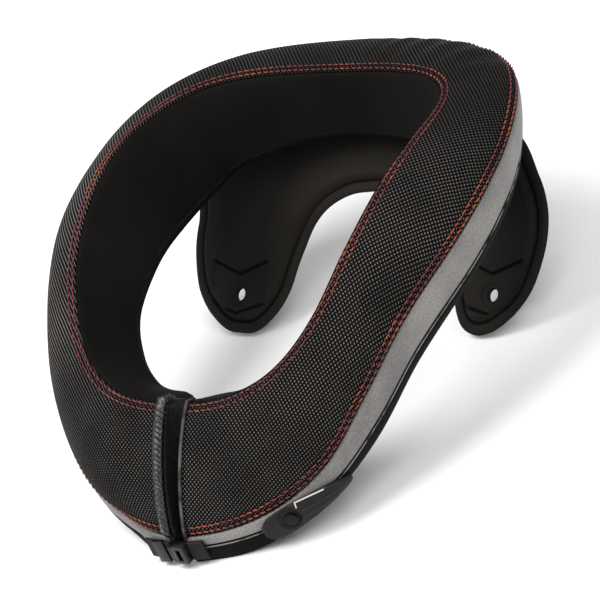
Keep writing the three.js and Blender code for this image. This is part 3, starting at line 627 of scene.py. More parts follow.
def stitch_tree():
    """Stitches set along the lines of a mesh: named sizes, a fixed seed, real meshes out."""
    tree = bpy.data.node_groups.new("stitch_row", "GeometryNodeTree")
    for name, kind in (("Lines", "Geometry"), ("Pitch", "Float"), ("Length", "Float"),
                       ("Width", "Float"), ("Slant", "Float"), ("Seed", "Int"),
                       ("Thread", "Material")):
        tree.interface.new_socket(name, in_out="INPUT", socket_type="NodeSocket" + kind)
    tree.interface.new_socket("Stitches", in_out="OUTPUT", socket_type="NodeSocketGeometry")
    n = Nodes(tree)
    source = n.add("NodeGroupInput").outputs
    curve = n.add("GeometryNodeMeshToCurve", {"Mesh": source["Lines"]}).outputs["Curve"]
    points = n.add("GeometryNodeCurveToPoints", {"Curve": curve, "Length": source["Pitch"]},
                   mode="LENGTH").outputs
    thread = n.add("GeometryNodeMeshUVSphere", {"Segments": 8, "Rings": 5, "Radius": 0.5}).outputs["Mesh"]
    size = n.add("ShaderNodeCombineXYZ", {
        "X": source["Width"], "Y": source["Width"], "Z": source["Length"],
    }).outputs[0]
    jitter = n.add("FunctionNodeRandomValue", {
        0: (0.85, 0.85, 0.9), 1: (1.15, 1.15, 1.08), "Seed": source["Seed"],
    }, data_type="FLOAT_VECTOR").outputs[0]
    stretched = n.add("ShaderNodeVectorMath", {0: size, 1: jitter}, operation="MULTIPLY").outputs[0]
    lean = n.add("ShaderNodeCombineXYZ", {"X": source["Slant"], "Y": source["Slant"]}).outputs[0]
    leaning = n.add("FunctionNodeEulerToRotation", {0: lean}).outputs[0]
    turn = n.add("FunctionNodeRotateRotation", {0: points["Rotation"], 1: leaning},
                 rotation_space="LOCAL").outputs[0]
    stitches = n.add("GeometryNodeInstanceOnPoints", {
        "Points": points["Points"], "Instance": thread, "Rotation": turn, "Scale": stretched,
    }).outputs["Instances"]
    real = n.add("GeometryNodeRealizeInstances", {"Geometry": stitches}).outputs["Geometry"]
    smooth = n.add("GeometryNodeSetShadeSmooth", {0: real}).outputs[0]
    made = n.add("GeometryNodeSetMaterial", {"Geometry": smooth, "Material": source["Thread"]})
    n.feed(n.add("NodeGroupOutput").inputs["Stitches"], made.outputs["Geometry"])
    return tree


def sew(name, lines, thread):
    """Stitches along lines of points in mm, turned into one plain mesh."""
    points = np.vstack(lines)
    edges, first = [], 0
    for line in lines:
        edges += [(first + k, first + k + 1) for k in range(len(line) - 1)]
        first += len(line)
    mesh = bpy.data.meshes.new(name + "_lines")
    mesh.from_pydata((points * MM).tolist(), edges, [])
    piece = bpy.data.objects.new(name, mesh)
    bpy.context.scene.collection.objects.link(piece)
    modifier = piece.modifiers.new("stitches", "NODES")
    modifier.node_group = stitch_tree()
    ids = {item.name: item.identifier for item in modifier.node_group.interface.items_tree}
    for key, value in (("Pitch", STITCH_PITCH * MM), ("Length", STITCH_LENGTH * MM),
                       ("Width", STITCH_WIDTH * MM), ("Slant", STITCH_SLANT),
                       ("Seed", STITCH_SEED), ("Thread", thread)):
        modifier[ids[key]] = value
    bake(piece)
    return piece


red_thread, nodes, shader = material("red_thread", Roughness=0.6, Sheen_Weight=0.05)
where = nodes.place()
warm = nodes.ramp(nodes.noise(where, 38.0, 1.0), 0.5, 0.64)
thread_colour = nodes.blend(warm, colour(0.15, 0.007, 0.014), colour(0.3, 0.047, 0.009))
twist = nodes.ramp(nodes.noise(where, 1500.0, 1.0), 0.3, 0.7, 0.55, 1.1)
nodes.feed(shader.inputs["Base Color"], nodes.blend(1.0, thread_colour, twist, "MULTIPLY"))
top_stitching = sew("cover_topstitching", [
    row_on_cover(distance, from_outer)
    for from_outer in (False, True) for distance in (TOPSTITCH_FIRST, TOPSTITCH_SECOND)
], red_thread)
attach(top_stitching, "root")

# The reflective strip: a light grey glass-bead tape sewn between the top cover and the
# base band, with a dark heat-cut lower edge.
TAPE_THICKNESS = 1.4
reflective_strip = skin("reflective_tape_strip", OUTER, STRIP_LOW, TAPE_THICKNESS)
tape, nodes, shader = material("reflective_tape", Roughness=0.5)
tape_map = nodes.uv("along")
clouds = nodes.ramp(nodes.noise(tape_map, 45.0, 4.0), 0.3, 0.7)
beads = nodes.ramp(nodes.noise(tape_map, 1400.0, 3.0, 0.7), 0.3, 0.7, 0.62, 1.25)
tape_colour = nodes.blend(clouds, colour(0.125, 0.118, 0.118), colour(0.21, 0.203, 0.19))
tape_colour = nodes.blend(1.0, tape_colour, beads, "MULTIPLY")
cut = nodes.ramp(nodes.axes(nodes.uv("seams"))["Y"], 0.0005, 0.0009, 1.0, 0.0)
tape_colour = nodes.blend(cut, tape_colour, colour(0.012, 0.011, 0.01))
nodes.feed(shader.inputs["Base Color"], tape_colour)
creases = nodes.noise(tape_map, 120.0, 3.0)
nodes.feed(shader.inputs["Normal"], nodes.bump(creases, 0.35, 0.0008))
reflective_strip.data.materials.append(tape)
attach(reflective_strip, "root")
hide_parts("reflective_strip")

# The base band: smooth dark laminated fabric from the strip's lower edge round the
# underside to the bottom of the neck opening, where it meets the lining.
LAMINATE_THICKNESS = 1.8
KNIT_GRAIN = 2200.0
base_band = skin("laminated_band", STRIP_LOW, INNER_LOW, LAMINATE_THICKNESS)


def soft_fabric(name, dark, light, scale=18.0, edge_highlight=0.0, highlight_tone=0.23):
    """Smooth laminated fabric: slow cloudy tone over a very fine knit grain.

    The last two arguments place a painted highlight, a thin broken pale line: its distance in mm from the
    piece's first edge and its tone.
    """
    made, n, bsdf = material(name, Roughness=0.75, Specular_IOR_Level=0.06)
    where = n.place()
    tone = n.ramp(n.noise(where, scale, 2.0), 0.3, 0.7)
    knit = n.noise(where, KNIT_GRAIN, 2.0, 0.6)
    shade = n.blend(tone, colour(*dark), colour(*light))
    shade = n.blend(1.0, shade, n.ramp(knit, 0.3, 0.7, 0.8, 1.15), "MULTIPLY")
    # Painted highlight: a thin broken pale line along the piece's first edge.
    if edge_highlight:
        from_edge = n.axes(n.uv("seams"))["X"]
        away = n.math("ABSOLUTE", n.math("SUBTRACT", from_edge, edge_highlight * MM))
        broken = n.ramp(n.noise(where, 160.0, 2.0), 0.3, 0.55)
        line = n.math("MULTIPLY", n.ramp(away, 0.0001, 0.0004, 1.0, 0.0), broken)
        shade = n.blend(line, shade, colour(highlight_tone, highlight_tone, highlight_tone))
    n.feed(bsdf.inputs["Base Color"], shade)
    n.feed(bsdf.inputs["Normal"], n.bump(knit, 0.25, 0.0002))
    return made


# Painted highlight on the band: a thin pale line just under the strip's lower edge.
base_band.data.materials.append(soft_fabric(
    "band_fabric", (0.004, 0.0035, 0.0031), (0.0078, 0.0069, 0.0062), edge_highlight=0.7,
))
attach(base_band, "root")
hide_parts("base_band")

# The lining of the neck opening: smooth neoprene, glued to the foam wall and sewn to the
# cover at the top.
inner_wall = skin("neck_lining", INNER_LOW, AROUND, LAMINATE_THICKNESS)
# Painted highlight on the lining: a thin faint line along its lower edge.
inner_wall.data.materials.append(soft_fabric(
    "lining_fabric", (0.003, 0.0026, 0.0023), (0.006, 0.0053, 0.0047), edge_highlight=2.6, highlight_tone=0.016,
))
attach(inner_wall, "root")
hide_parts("inner_wall")

# The slit's two end faces: thin cushions of matt black vinyl that close the ends of the
# collar, sewn to the covers round their edges.
FACING_THICKNESS = 2.4
CLEARANCE = 0.3

# The cushion's swell: share of its thickness, share of the collar's section
FACING_LAYERS = [(0.0, 0.97), (0.12, 1.0), (0.6, 0.985), (0.85, 0.95), (1.0, 0.84), (1.03, 0.5)]
end_outline = outline_at(SLIT_SHARE)
end_middle = end_outline.mean(axis=0)


def slit_facing(name, side):
    rings = []
    for depth, size in FACING_LAYERS:
        points = placed(SLIT_SHARE, side, end_middle + (end_outline - end_middle) * size)
        points[:, 0] -= side * (CLEARANCE + depth * FACING_THICKNESS)
        points[:, 2] = np.maximum(points[:, 2], 0.0)
        rings.append(points)
    rings = np.array(rings)
    faces = grid_faces(len(rings), AROUND, wrap=True) + full_ends(len(rings), AROUND)
    piece = mesh_object(name + "_vinyl", rings.reshape(-1, 3), faces)
    piece.data.materials.append(FACING_VINYL)
    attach(piece, "root")
    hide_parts(name)
    return piece


def wrinkled_vinyl(name, dark, light, roughness, coat=0.1):
    """Vinyl with a pebbled grain over small folds."""
    made, n, bsdf = material(name, Roughness=roughness, Coat_Weight=coat, Coat_Roughness=0.2,
                             Specular_IOR_Level=0.25)
    where = n.place()
    grain = n.add("ShaderNodeTexVoronoi", {"Vector": where, "Scale": 700.0}, feature="DISTANCE_TO_EDGE")
    folds = n.noise(where, 260.0, 3.0)
    n.feed(bsdf.inputs["Base Color"], n.blend(folds, colour(*dark), colour(*light)))
    pebbles = n.bump(grain.outputs["Distance"], 0.5, 0.0005)
    n.feed(bsdf.inputs["Normal"], n.bump(folds, 0.6, 0.0012, pebbles))
    return made


FACING_VINYL = wrinkled_vinyl("facing_vinyl", (0.0015, 0.0012, 0.001), (0.004, 0.0035, 0.003), 0.6)
slit_facing("slit_facing_left", -1)
slit_facing("slit_facing_right", 1)

# The slit's edges: on one side a wide gathered binding of glossy vinyl, on the other a thin
# grey piping. Both run over the roll from the lip at the neck down to the outer seam.
BINDING_WIDTH = 5.2
BINDING_FOOT = 3.8
BINDING_RISE = 2.0
BINDING_INSET = 0.6
PIPING_WIDTH = 1.5
EDGE_STAND_OFF = 0.25
BINDING_STEPS = 150
BINDING_ROUND = 13
GATHER_PITCH = 1.9
GATHER_RISE = 0.42
GATHER_LEAN = 3.0
GATHER_SEED = 11
LUMP_STEPS = 9


def inset_ring(ring, depth):
    """A closed outline moved inwards by depth, or outwards where depth is negative."""
    before, after = np.roll(ring, 1, 0), np.roll(ring, -1, 0)

    def square_to(a, b):
        return unit(np.stack([a[:, 1] - b[:, 1], b[:, 0] - a[:, 0]], 1))

    n1, n2 = square_to(before, ring), square_to(ring, after)
    mitre = (n1 + n2) / np.maximum(1 + (n1 * n2).sum(1), 0.5)[:, None]
    return ring - mitre * depth


def slit_edge_roll(name, side, width, foot, rise, inset, gather):
    """A roll over the collar's edge at the slit: its width at the neck and at the foot."""
    rng = np.random.default_rng(GATHER_SEED)
    count = BINDING_ROUND
    first, last = AROUND - 4, AROUND + COVER_PARTS
    marks = np.linspace(first, last, BINDING_STEPS)
    narrowing = 1 - (1 - foot / width) * step(marks, AROUND + 4, last)
    columns = []
    for c in range(count):
        over = -0.5 + c / (count - 1)
        up = math.sqrt(max(1 - (2 * over) ** 2, 0.0)) ** 0.8
        from_end = over * width - inset
        share = SLIT_SHARE + max(from_end, 0) / SEAM_LENGTH
        outline = outline_at(share)
        low = inset_ring(outline, -EDGE_STAND_OFF)
        high = inset_ring(outline, -EDGE_STAND_OFF - rise)
        i = marks.astype(int)
        part = (marks - i)[:, None]
        low_line = low[i % AROUND] * (1 - part) + low[(i + 1) % AROUND] * part
        high_line = high[i % AROUND] * (1 - part) + high[(i + 1) % AROUND] * part
        ends = np.minimum(1, np.minimum(marks - first, last - marks) / 1.2 + 0.35)[:, None]
        line = low_line + (high_line - low_line) * up * ends
        points = placed(share, side, line)
        points[:, 0] += side * min(from_end, 0) - side * width * (1 - narrowing) * over
        columns.append(points)
    grid = np.array(columns).transpose(1, 0, 2)
    travel = np.r_[0, np.cumsum(np.linalg.norm(np.diff(grid[:, count // 2], axis=0), axis=1))]
    if gather:
        phase = np.cumsum(rng.uniform(0.5, 1.5, BINDING_STEPS)) / BINDING_STEPS * travel[-1]
        lean = np.linspace(-0.5, 0.5, count)[None, :] * GATHER_LEAN
        wave = np.sin(2 * np.pi * (phase[:, None] + lean) / GATHER_PITCH)
        lump_marks = np.arange(0, BINDING_STEPS + LUMP_STEPS, LUMP_STEPS)
        lumps = np.interp(np.arange(BINDING_STEPS), lump_marks, rng.uniform(-1, 1, len(lump_marks)))
        wave *= (0.7 + 0.6 * lumps)[:, None]
        arch = np.sqrt(np.maximum(1 - np.linspace(-1, 1, count) ** 2, 0))[None, :]
        grid += grid_normals(grid) * (GATHER_RISE * wave * arch)[..., None]
    faces = grid_faces(len(grid), count, wrap=True) + full_ends(len(grid), count)
    return mesh_object(name, grid.reshape(-1, 3), faces)


binding = slit_edge_roll("gathered_binding", -1, BINDING_WIDTH, BINDING_FOOT, BINDING_RISE,
                         BINDING_INSET, True)
binding.data.materials.append(wrinkled_vinyl(
    "binding_vinyl", (0.003, 0.0027, 0.0026), (0.008, 0.0074, 0.007), 0.24, 0.5,
))
piping = slit_edge_roll("grey_edge_piping", 1, PIPING_WIDTH, PIPING_WIDTH, PIPING_WIDTH / 2,
                        PIPING_WIDTH / 2, False)
piping.data.materials.append(soft_fabric("piping_cloth", (0.03, 0.029, 0.028), (0.1, 0.097, 0.093), 220.0))
for piece, node, slot_name in ((binding, "slit_binding", "vinyl"), (piping, "slit_piping", "grey_piping")):
    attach(piece, "root")
    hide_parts(node)

# The back panel: soft foam pressed between two fabrics, a U with two wings that hangs
# under the collar's back. A flat welded rim runs round a raised pad, and each wing has a
# chevron patch drawn by a fine weld line round its hole.
PANEL_HALF_WIDTH = 89.7
PANEL_LENGTH = 80.4
PANEL_SLOPE = math.radians(42)
PANEL_TOP_Y = 86.3
PANEL_TOP_Z = 55.3
PANEL_RIM = 2.6
PANEL_RIM_WIDTH = 5.0
PANEL_PAD_RAISE = 2.0
PAD_SLOPE = 3.0
EDGE_ROLL = 1.2
EDGE_ROLL_RUN = 1.3
ROOM_CLEARANCE = 0.1
WING_HOLE_DIAMETER = 5.6
WING_HOLE_X = 65.5
WING_HOLE_DOWN = 61.6
CHEVRON_WIDTH = 28.0
CHEVRON_HEIGHT = 16.4
CHEVRON_FALL = 5.5
CHEVRON_LOW_FALL = 0.7 * CHEVRON_FALL
PATCH_DEPTH = 0.7
WELD_WIDTH = 0.75
WELD_DOTS = 1.8
EYELET_DIAMETER = 8.0
HOLE_SIDES = 28
PANEL_ROWS = 300
PANEL_COLUMNS = 56

# Edges of one half, from the middle line to the wing's tip: shares of the sizes above
PANEL_EDGES = [
    (0.0, 0.0, 0.235, 0.0, -0.16), (0.12, 0.14, 0.25, 0.4, -0.16),
    (0.24, 0.26, 0.31, 0.75, -0.06), (0.36, 0.335, 0.4, 0.91, 0.17),
    (0.47, 0.38, 0.52, 0.975, 0.33), (0.57, 0.412, 0.625, 0.99, 0.47),
    (0.67, 0.437, 0.73, 0.973, 0.61), (0.76, 0.477, 0.82, 0.935, 0.74),
    (0.84, 0.53, 0.89, 0.872, 0.84), (0.91, 0.585, 0.94, 0.8, 0.91),
    (0.96, 0.63, 0.962, 0.745, 0.947), (1.0, 0.67, 0.968, 0.705, 0.962),
]
RIGHT_WING_NARROWER = 0.05
LEFT_WING_WIDER = 0.055
LEFT_SHOULDER_WIDER = 0.09


def on_panel(side, down, front):
    """Places in space from the panel's own plane: across, down its slope and out of it."""
    c, s = math.cos(PANEL_SLOPE), math.sin(PANEL_SLOPE)
    z = np.maximum(PANEL_TOP_Z - down * s + front * c, 0.0)
    return np.stack([side, PANEL_TOP_Y - down * c - front * s, z], -1)


def line_distance(side, down, ends):
    """How far points of the panel lie from a straight line between two ends."""
    a, b = np.array(ends[0]), np.array(ends[1])
    p = np.stack([side, down], -1) - a
    t = np.clip((p @ (b - a)) / ((b - a) @ (b - a)), 0, 1)[..., None]
    return np.linalg.norm(p - t * (b - a), axis=-1)


def panel_front(side, down, from_edge):
    """Height of the panel's visible face over the rim's face, and a mask of the painted shade that darkens
    its weld lines and the trench by the rim.
    """
    pad = step(from_edge, PANEL_RIM_WIDTH, PANEL_RIM_WIDTH + PAD_SLOPE)
    trench = np.exp(-(((from_edge - PANEL_RIM_WIDTH + 0.3) / 0.8) ** 2))
    edge = -EDGE_ROLL * (1 - step(from_edge, 0.0, EDGE_ROLL_RUN))
    x, y = np.abs(side) - WING_HOLE_X, down - WING_HOLE_DOWN
    half, high = CHEVRON_WIDTH / 2, CHEVRON_HEIGHT / 2
    top = y + high + CHEVRON_FALL * np.abs(x) / half
    low = high - CHEVRON_LOW_FALL * np.abs(x) / half - y
    patch = step(top, -1.2, 1.2) * step(low, -1.2, 1.2) * step(half - np.abs(x), -1.5, 1.5)
    welds = 0
    for end in (-half, half):
        above, below = (end, -high - CHEVRON_FALL), (end, high - CHEVRON_LOW_FALL)
        for ends in ((above, (0, -high)), (below, (0, high))):
            welds = np.maximum(welds, np.exp(-((line_distance(x, y, ends) / WELD_WIDTH) ** 2)))
        dotted = 0.35 + 0.25 * np.cos(2 * math.pi * y / WELD_DOTS)
        upright = np.exp(-((line_distance(x, y, (above, below)) / WELD_WIDTH) ** 2))
        welds = np.maximum(welds, dotted * upright)
    eyelet = 1 - step(np.hypot(x, y), EYELET_DIAMETER / 2, EYELET_DIAMETER / 2 + 1.6)
    front = PANEL_PAD_RAISE * pad * (1 - eyelet) - trench + edge
    pressed = (PATCH_DEPTH * patch + welds * pad) * (1 - eyelet)
    return front - pressed, np.maximum(trench * 0.8, welds * pad)


def back_panel():
    """The U as a grid from wing tip to wing tip, front and back in one closed body."""
    side = np.zeros((PANEL_ROWS + 1, PANEL_COLUMNS))
    down = np.zeros_like(side)
    lean = (1 - np.cos(np.linspace(0, math.pi, PANEL_COLUMNS))) / 2
    spread = 0.5 * lean + 0.5 * np.linspace(0, 1, PANEL_COLUMNS)
    for k in range(PANEL_ROWS + 1):
        sweep = 2 * k / PANEL_ROWS - 1
        hand, at = (-1 if sweep < 0 else 1), abs(sweep) ** 0.85
        in_side, in_down, out_side, out_down = (smooth_at(PANEL_EDGES, c, at) for c in (1, 2, 3, 4))
        if hand > 0:
            in_side += RIGHT_WING_NARROWER * step(at, 0.35, 0.6) * (1 - step(at, 0.7, 0.92))
        else:
            shoulder = step(at, 0.08, 0.25) * (1 - step(at, 0.33, 0.52))
            out_side += LEFT_WING_WIDER * step(at, 0.1, 0.3) + LEFT_SHOULDER_WIDER * shoulder
        side[k] = hand * PANEL_HALF_WIDTH * (in_side + (out_side - in_side) * spread)
        down[k] = PANEL_LENGTH * (in_down + (out_down - in_down) * spread)
    outline = np.concatenate([
        np.stack([side[:, 0], down[:, 0]], 1), np.stack([side[-1], down[-1]], 1),
        np.stack([side[::-1, -1], down[::-1, -1]], 1), np.stack([side[0, ::-1], down[0, ::-1]], 1),
    ])
    from_edge = np.full(side.shape, 1e9)
    for a, b in zip(outline, np.roll(outline, -1, 0)):
        if np.linalg.norm(b - a) > 1e-6:
            from_edge = np.minimum(from_edge, line_distance(side, down, (a, b)))
    front, groove_shade = panel_front(side, down, from_edge)
    to_hole = np.hypot(np.abs(side) - WING_HOLE_X, down - WING_HOLE_DOWN)
    pressed_back = step(from_edge, PANEL_RIM_WIDTH, PANEL_RIM_WIDTH + 4) * step(to_hole, 4.0, 6.0)
    edge = EDGE_ROLL * (1 - step(from_edge, 0.0, EDGE_ROLL_RUN))
    back = -PANEL_RIM - PANEL_PAD_RAISE * pressed_back + edge
    grid = np.concatenate([on_panel(side, down, front), on_panel(side, down, back)[:, ::-1]], axis=1)
    width = grid.shape[1]
    faces = grid_faces(len(grid), width, wrap=True) + thin_ends(len(grid), width)
    piece = mesh_object("back_panel_pad", grid.reshape(-1, 3), faces)
    # A UV map carries the mask of the painted shade in the weld lines and the rim's trench.
    marks = np.stack([groove_shade, groove_shade], axis=2)
    lay_uv(piece, "welds", np.concatenate([marks, marks[:, ::-1] * 0], axis=1))
    return piece


def cut_away(piece, tool):
    """Take a closed tool body out of a piece and throw the tool away."""
    modifier = piece.modifiers.new("cut", "BOOLEAN")
    modifier.operation = "DIFFERENCE"
    modifier.solver = "EXACT"
    modifier.object = tool
    bake(piece)
    bpy.data.objects.remove(tool)


panel = back_panel()
for hand in (-1, 1):
    angles = np.linspace(0, 2 * math.pi, HOLE_SIDES, endpoint=False)
    across = hand * WING_HOLE_X + WING_HOLE_DIAMETER / 2 * np.cos(angles)
    down = WING_HOLE_DOWN + WING_HOLE_DIAMETER / 2 * np.sin(angles)
    drill_points = np.vstack([on_panel(across, down, np.full(HOLE_SIDES, end)) for end in (-9.0, 5.0)])
    drill_faces = grid_faces(2, HOLE_SIDES, wrap=True) + full_ends(2, HOLE_SIDES)
    cut_away(panel, mesh_object("wing_drill", drill_points, drill_faces))
room_grid = (roll + roll_out * ROOM_CLEARANCE)[::4]
room = mesh_object("collar_room", room_grid.reshape(-1, 3),
                   grid_faces(len(room_grid), AROUND, wrap=True) + full_ends(len(room_grid), AROUND))
cut_away(panel, room)
panel.data.polygons.foreach_set("use_smooth", [True] * len(panel.data.polygons))
panel.data.materials.clear()
panel_fabric = soft_fabric("panel_fabric", (0.0115, 0.01, 0.0086), (0.018, 0.016, 0.0139))
nodes = Nodes(panel_fabric.node_tree)
shader = panel_fabric.node_tree.nodes["Principled BSDF"]
# Painted shade: the base colour darkens along the weld lines and in the trench between the rim and the
# pad.
dark = nodes.ramp(nodes.axes(nodes.uv("welds"))["X"], 0.15, 0.8, 1.0, 0.12)
shade = shader.inputs["Base Color"].links[0].from_socket
nodes.feed(shader.inputs["Base Color"], nodes.blend(1.0, shade, dark, "MULTIPLY"))
panel.data.materials.append(panel_fabric)
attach(panel, "root")
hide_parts("back_panel")

# The front strap: two ends of narrow ribbed webbing that come out of the base band and are
# held by a keeper loop and a small moulded buckle, which stays fastened.
WEBBING_RIB = 1.1 * MM
STRAP_BEVEL = 0.35


def softened_node(node, name, bevel_mm, x_fit=None, z_fit=None):
    """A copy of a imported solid, merged, with rounded edges, fitted between given places in mm."""
    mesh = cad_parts[node].data.copy()
    co = np.empty(len(mesh.vertices) * 3)
    mesh.vertices.foreach_get("co", co)
    co = co.reshape(-1, 3)
    for axis, fit in ((0, x_fit), (2, z_fit)):
        if fit:
            low, high = co[:, axis].min(), co[:, axis].max()
            co[:, axis] = np.interp(co[:, axis], (low, high), (fit[0] * MM, fit[1] * MM))
    mesh.vertices.foreach_set("co", co.ravel())
    body = bmesh.new()
    body.from_mesh(mesh)
    bmesh.ops.remove_doubles(body, verts=body.verts, dist=0.01 * MM)
    bmesh.ops.dissolve_limit(body, angle_limit=math.radians(2), verts=body.verts, edges=body.edges)
    bmesh.ops.recalc_face_normals(body, faces=body.faces)
    body.to_mesh(mesh)
    body.free()
    mesh.materials.clear()
    piece = bpy.data.objects.new(name, mesh)
    bpy.context.scene.collection.objects.link(piece)
    bevel = piece.modifiers.new("edges", "BEVEL")
    bevel.width = bevel_mm * MM
    bevel.segments = 3
    bevel.limit_method = "ANGLE"
    bevel.angle_limit = math.radians(35)
    made = bake(piece)
    made.polygons.foreach_set("use_smooth", [True] * len(made.polygons))
    made.update()
    return piece


webbing, nodes, shader = material("strap_webbing", Roughness=0.6, Specular_IOR_Level=0.15)
axes = nodes.axes(nodes.place())
across_ribs = nodes.math("SINE", nodes.math("MULTIPLY", axes["Z"], 2 * math.pi / WEBBING_RIB))
along_ribs = nodes.math("SINE", nodes.math("MULTIPLY", axes["X"], 2 * math.pi / (0.7 * WEBBING_RIB)))
ribs = nodes.math("ADD", across_ribs, nodes.math("MULTIPLY", along_ribs, 0.6))
tone = nodes.ramp(ribs, -1.2, 1.2)
webbing_colour = nodes.blend(tone, colour(0.003, 0.0027, 0.0025), colour(0.022, 0.0205, 0.0195))
nodes.feed(shader.inputs["Base Color"], webbing_colour)
nodes.feed(shader.inputs["Normal"], nodes.bump(tone, 0.6, 0.0003))
for node, x_fit in (("strap_left", (-14.8, -1.6)), ("strap_right", (7.1, 14.4))):
    strap = softened_node(node, node + "_webbing", STRAP_BEVEL, x_fit)
    strap.data.materials.append(webbing)
    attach(strap, "root")
    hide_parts(node)


def moulded(name, dark, light, roughness, gloss=0.15):
    """Moulded plastic or rubber: a fine spark-eroded grain and slow handling wear."""
    made, n, bsdf = material(name, Roughness=roughness, Specular_IOR_Level=gloss)
    where = n.place()
    spark = n.noise(where, 1800.0, 2.0)
    wear = n.ramp(n.noise(where, 160.0, 3.0), 0.35, 0.75)
    n.feed(bsdf.inputs["Base Color"], n.blend(wear, colour(*dark), colour(*light)))
    n.feed(bsdf.inputs["Roughness"], n.ramp(wear, 0.0, 1.0, roughness - 0.06, roughness + 0.12))
    n.feed(bsdf.inputs["Normal"], n.bump(spark, 0.3, 0.00015))
    return made


BUCKLE_PLASTIC = moulded("buckle_plastic", (0.003, 0.0028, 0.0027), (0.008, 0.0075, 0.0072), 0.25, 0.3)
for node, bevel_mm, x_fit, z_fit in (
    ("strap_keeper", 0.15, (-9.4, -4.2), (2.2, 12.4)),
    ("buckle_socket", 0.22, (1.1, 6.8), (3.2, 11.3)),
    ("buckle_plug", 0.3, (-1.2, 4.6), (3.6, 10.8)),
):
    fitting = softened_node(node, node + "_moulding", bevel_mm, x_fit, z_fit)
    fitting.data.materials.append(BUCKLE_PLASTIC)
    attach(fitting, "root")
    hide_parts(node)

# The side tab: a moulded rubber plate with rounded ends, laid over the strip and the band,
# with a round recess for its rivet, two low ribs and one thin pale line.
TAB_THICKNESS = 1.8
TAB_START = 0.118
TAB_END = 0.224

# Upper and lower edge from the front end to the back end, as shares of the way down
TAB_EDGES = [
    (0.0, 0.36, 0.66), (0.08, 0.14, 0.88), (0.3, 0.08, 0.94),
    (0.5, 0.18, 0.94), (0.7, 0.36, 0.96), (0.85, 0.54, 0.95), (1.0, 0.74, 0.92),
]
RIVET_SHARE = 0.15
RECESS_DIAMETER = 8.4
RECESS_DEPTH = 1.1
RECESS_COLLAR = 0.35
RIB_RISE = 0.45
RIBS_AT = (0.36, 0.62)
TAB_ROWS = 110
TAB_COLUMNS = 34


def on_side(share, drop, lift):
    """A place on the collar's side between the outer seam (0) and the band's edge (1)."""
    outline = outline_at(share)
    raised = inset_ring(outline, -lift)
    f = drop * (STRIP_PARTS + BAND_PARTS)
    i = min(int(f), STRIP_PARTS + BAND_PARTS - 1)
    a, b = raised[OUTER + i], raised[OUTER + i + 1]
    return placed(share, 1, a + (b - a) * (f - i))[0]


def side_tab():
    """The tab as a grid that runs over its face and back along the collar's side."""
    rivet = on_side(RIVET_SHARE, 0.5, CLEARANCE)
    rows = []
    for r in range(TAB_ROWS + 1):
        t = r / TAB_ROWS
        share = TAB_START + (TAB_END - TAB_START) * t
        top, low = smooth_at(TAB_EDGES, 1, t), smooth_at(TAB_EDGES, 2, t)
        row, under = [], []
        for c in range(TAB_COLUMNS):
            part = c / (TAB_COLUMNS - 1)
            drop = top + (low - top) * part
            place = on_side(share, drop, CLEARANCE)
            to_rivet = np.linalg.norm(place - rivet)
            from_recess = to_rivet - RECESS_DIAMETER / 2
            recess = RECESS_DEPTH * (1 - step(from_recess, -0.5, 0.4))
            collar = RECESS_COLLAR * math.exp(-(((from_recess - 0.8) / 0.6) ** 2))
            on_ribs = step(t, 0.42, 0.46) * (1 - step(t, 0.78, 0.84))
            ribs = [math.exp(-(((part - rib) / 0.055) ** 2)) for rib in RIBS_AT]
            raised = RIB_RISE * on_ribs * max(ribs)
            edge = min(part, 1 - part, 3 * t, 3 * (1 - t))
            shoulder = 0.55 + 0.45 * math.sqrt(min(edge / 0.09, 1))
            lift = CLEARANCE + TAB_THICKNESS * shoulder - recess + collar + raised
            row.append(on_side(share, drop, lift))
            under.append(place)
        rows.append(row + under[::-1])
    grid = np.array(rows)
    width = grid.shape[1]
    faces = grid_faces(len(grid), width, wrap=True) + thin_ends(len(grid), width)
    piece = mesh_object("moulded_side_tab", grid.reshape(-1, 3), faces)
    face = np.stack(np.meshgrid(np.linspace(0, 1, TAB_ROWS + 1), np.linspace(0, 1, TAB_COLUMNS),
                                indexing="ij"), axis=2)
    lay_uv(piece, "tab", np.concatenate([face, np.full_like(face, 0.5)], axis=1))
    return piece


tab = side_tab()
tab_rubber = moulded("tab_rubber", (0.0095, 0.0083, 0.0075), (0.016, 0.0145, 0.0133), 0.5)
nodes = Nodes(tab_rubber.node_tree)
shader = tab_rubber.node_tree.nodes["Principled BSDF"]
on_tab = nodes.axes(nodes.uv("tab"))
along, down = on_tab["X"], on_tab["Y"]


def between(value, low, high, soft):
    """1 from low to high, with soft edges outside them."""
    rise, fall = nodes.ramp(value, low - soft, low), nodes.ramp(value, high, high + soft, 1.0, 0.0)
    return nodes.math("MULTIPLY", rise, fall)


along_top = nodes.math("MULTIPLY", between(down, 0.02, 0.04, 0.015), between(along, 0.4, 0.7, 0.005))
turned_down = nodes.math("MULTIPLY", between(along, 0.4, 0.408, 0.004), between(down, 0.05, 0.2, 0.02))
pale_line = nodes.math("MAXIMUM", along_top, turned_down)
shade = shader.inputs["Base Color"].links[0].from_socket
nodes.feed(shader.inputs["Base Color"], nodes.blend(pale_line, shade, colour(0.55, 0.54, 0.52)))
tab.data.materials.append(tab_rubber)
rivet = softened_node("tab_rivet", "tab_rivet_head", 0.25)
rivet.data.materials.append(moulded("rivet_rubber", (0.003, 0.0026, 0.0024), (0.006, 0.0054, 0.005), 0.5))
for piece, node in ((tab, "side_tab"), (rivet, "tab_rivet")):
    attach(piece, "root")
    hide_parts(node)

# The studio: a plain pale floor under even light from all round, with a broad soft light
# over the front and a weaker one behind.
FLOOR_HALF = 6000.0
WORLD_STRENGTH = 0.65
LIGHTS_AIM = (0, 0, 0.05)

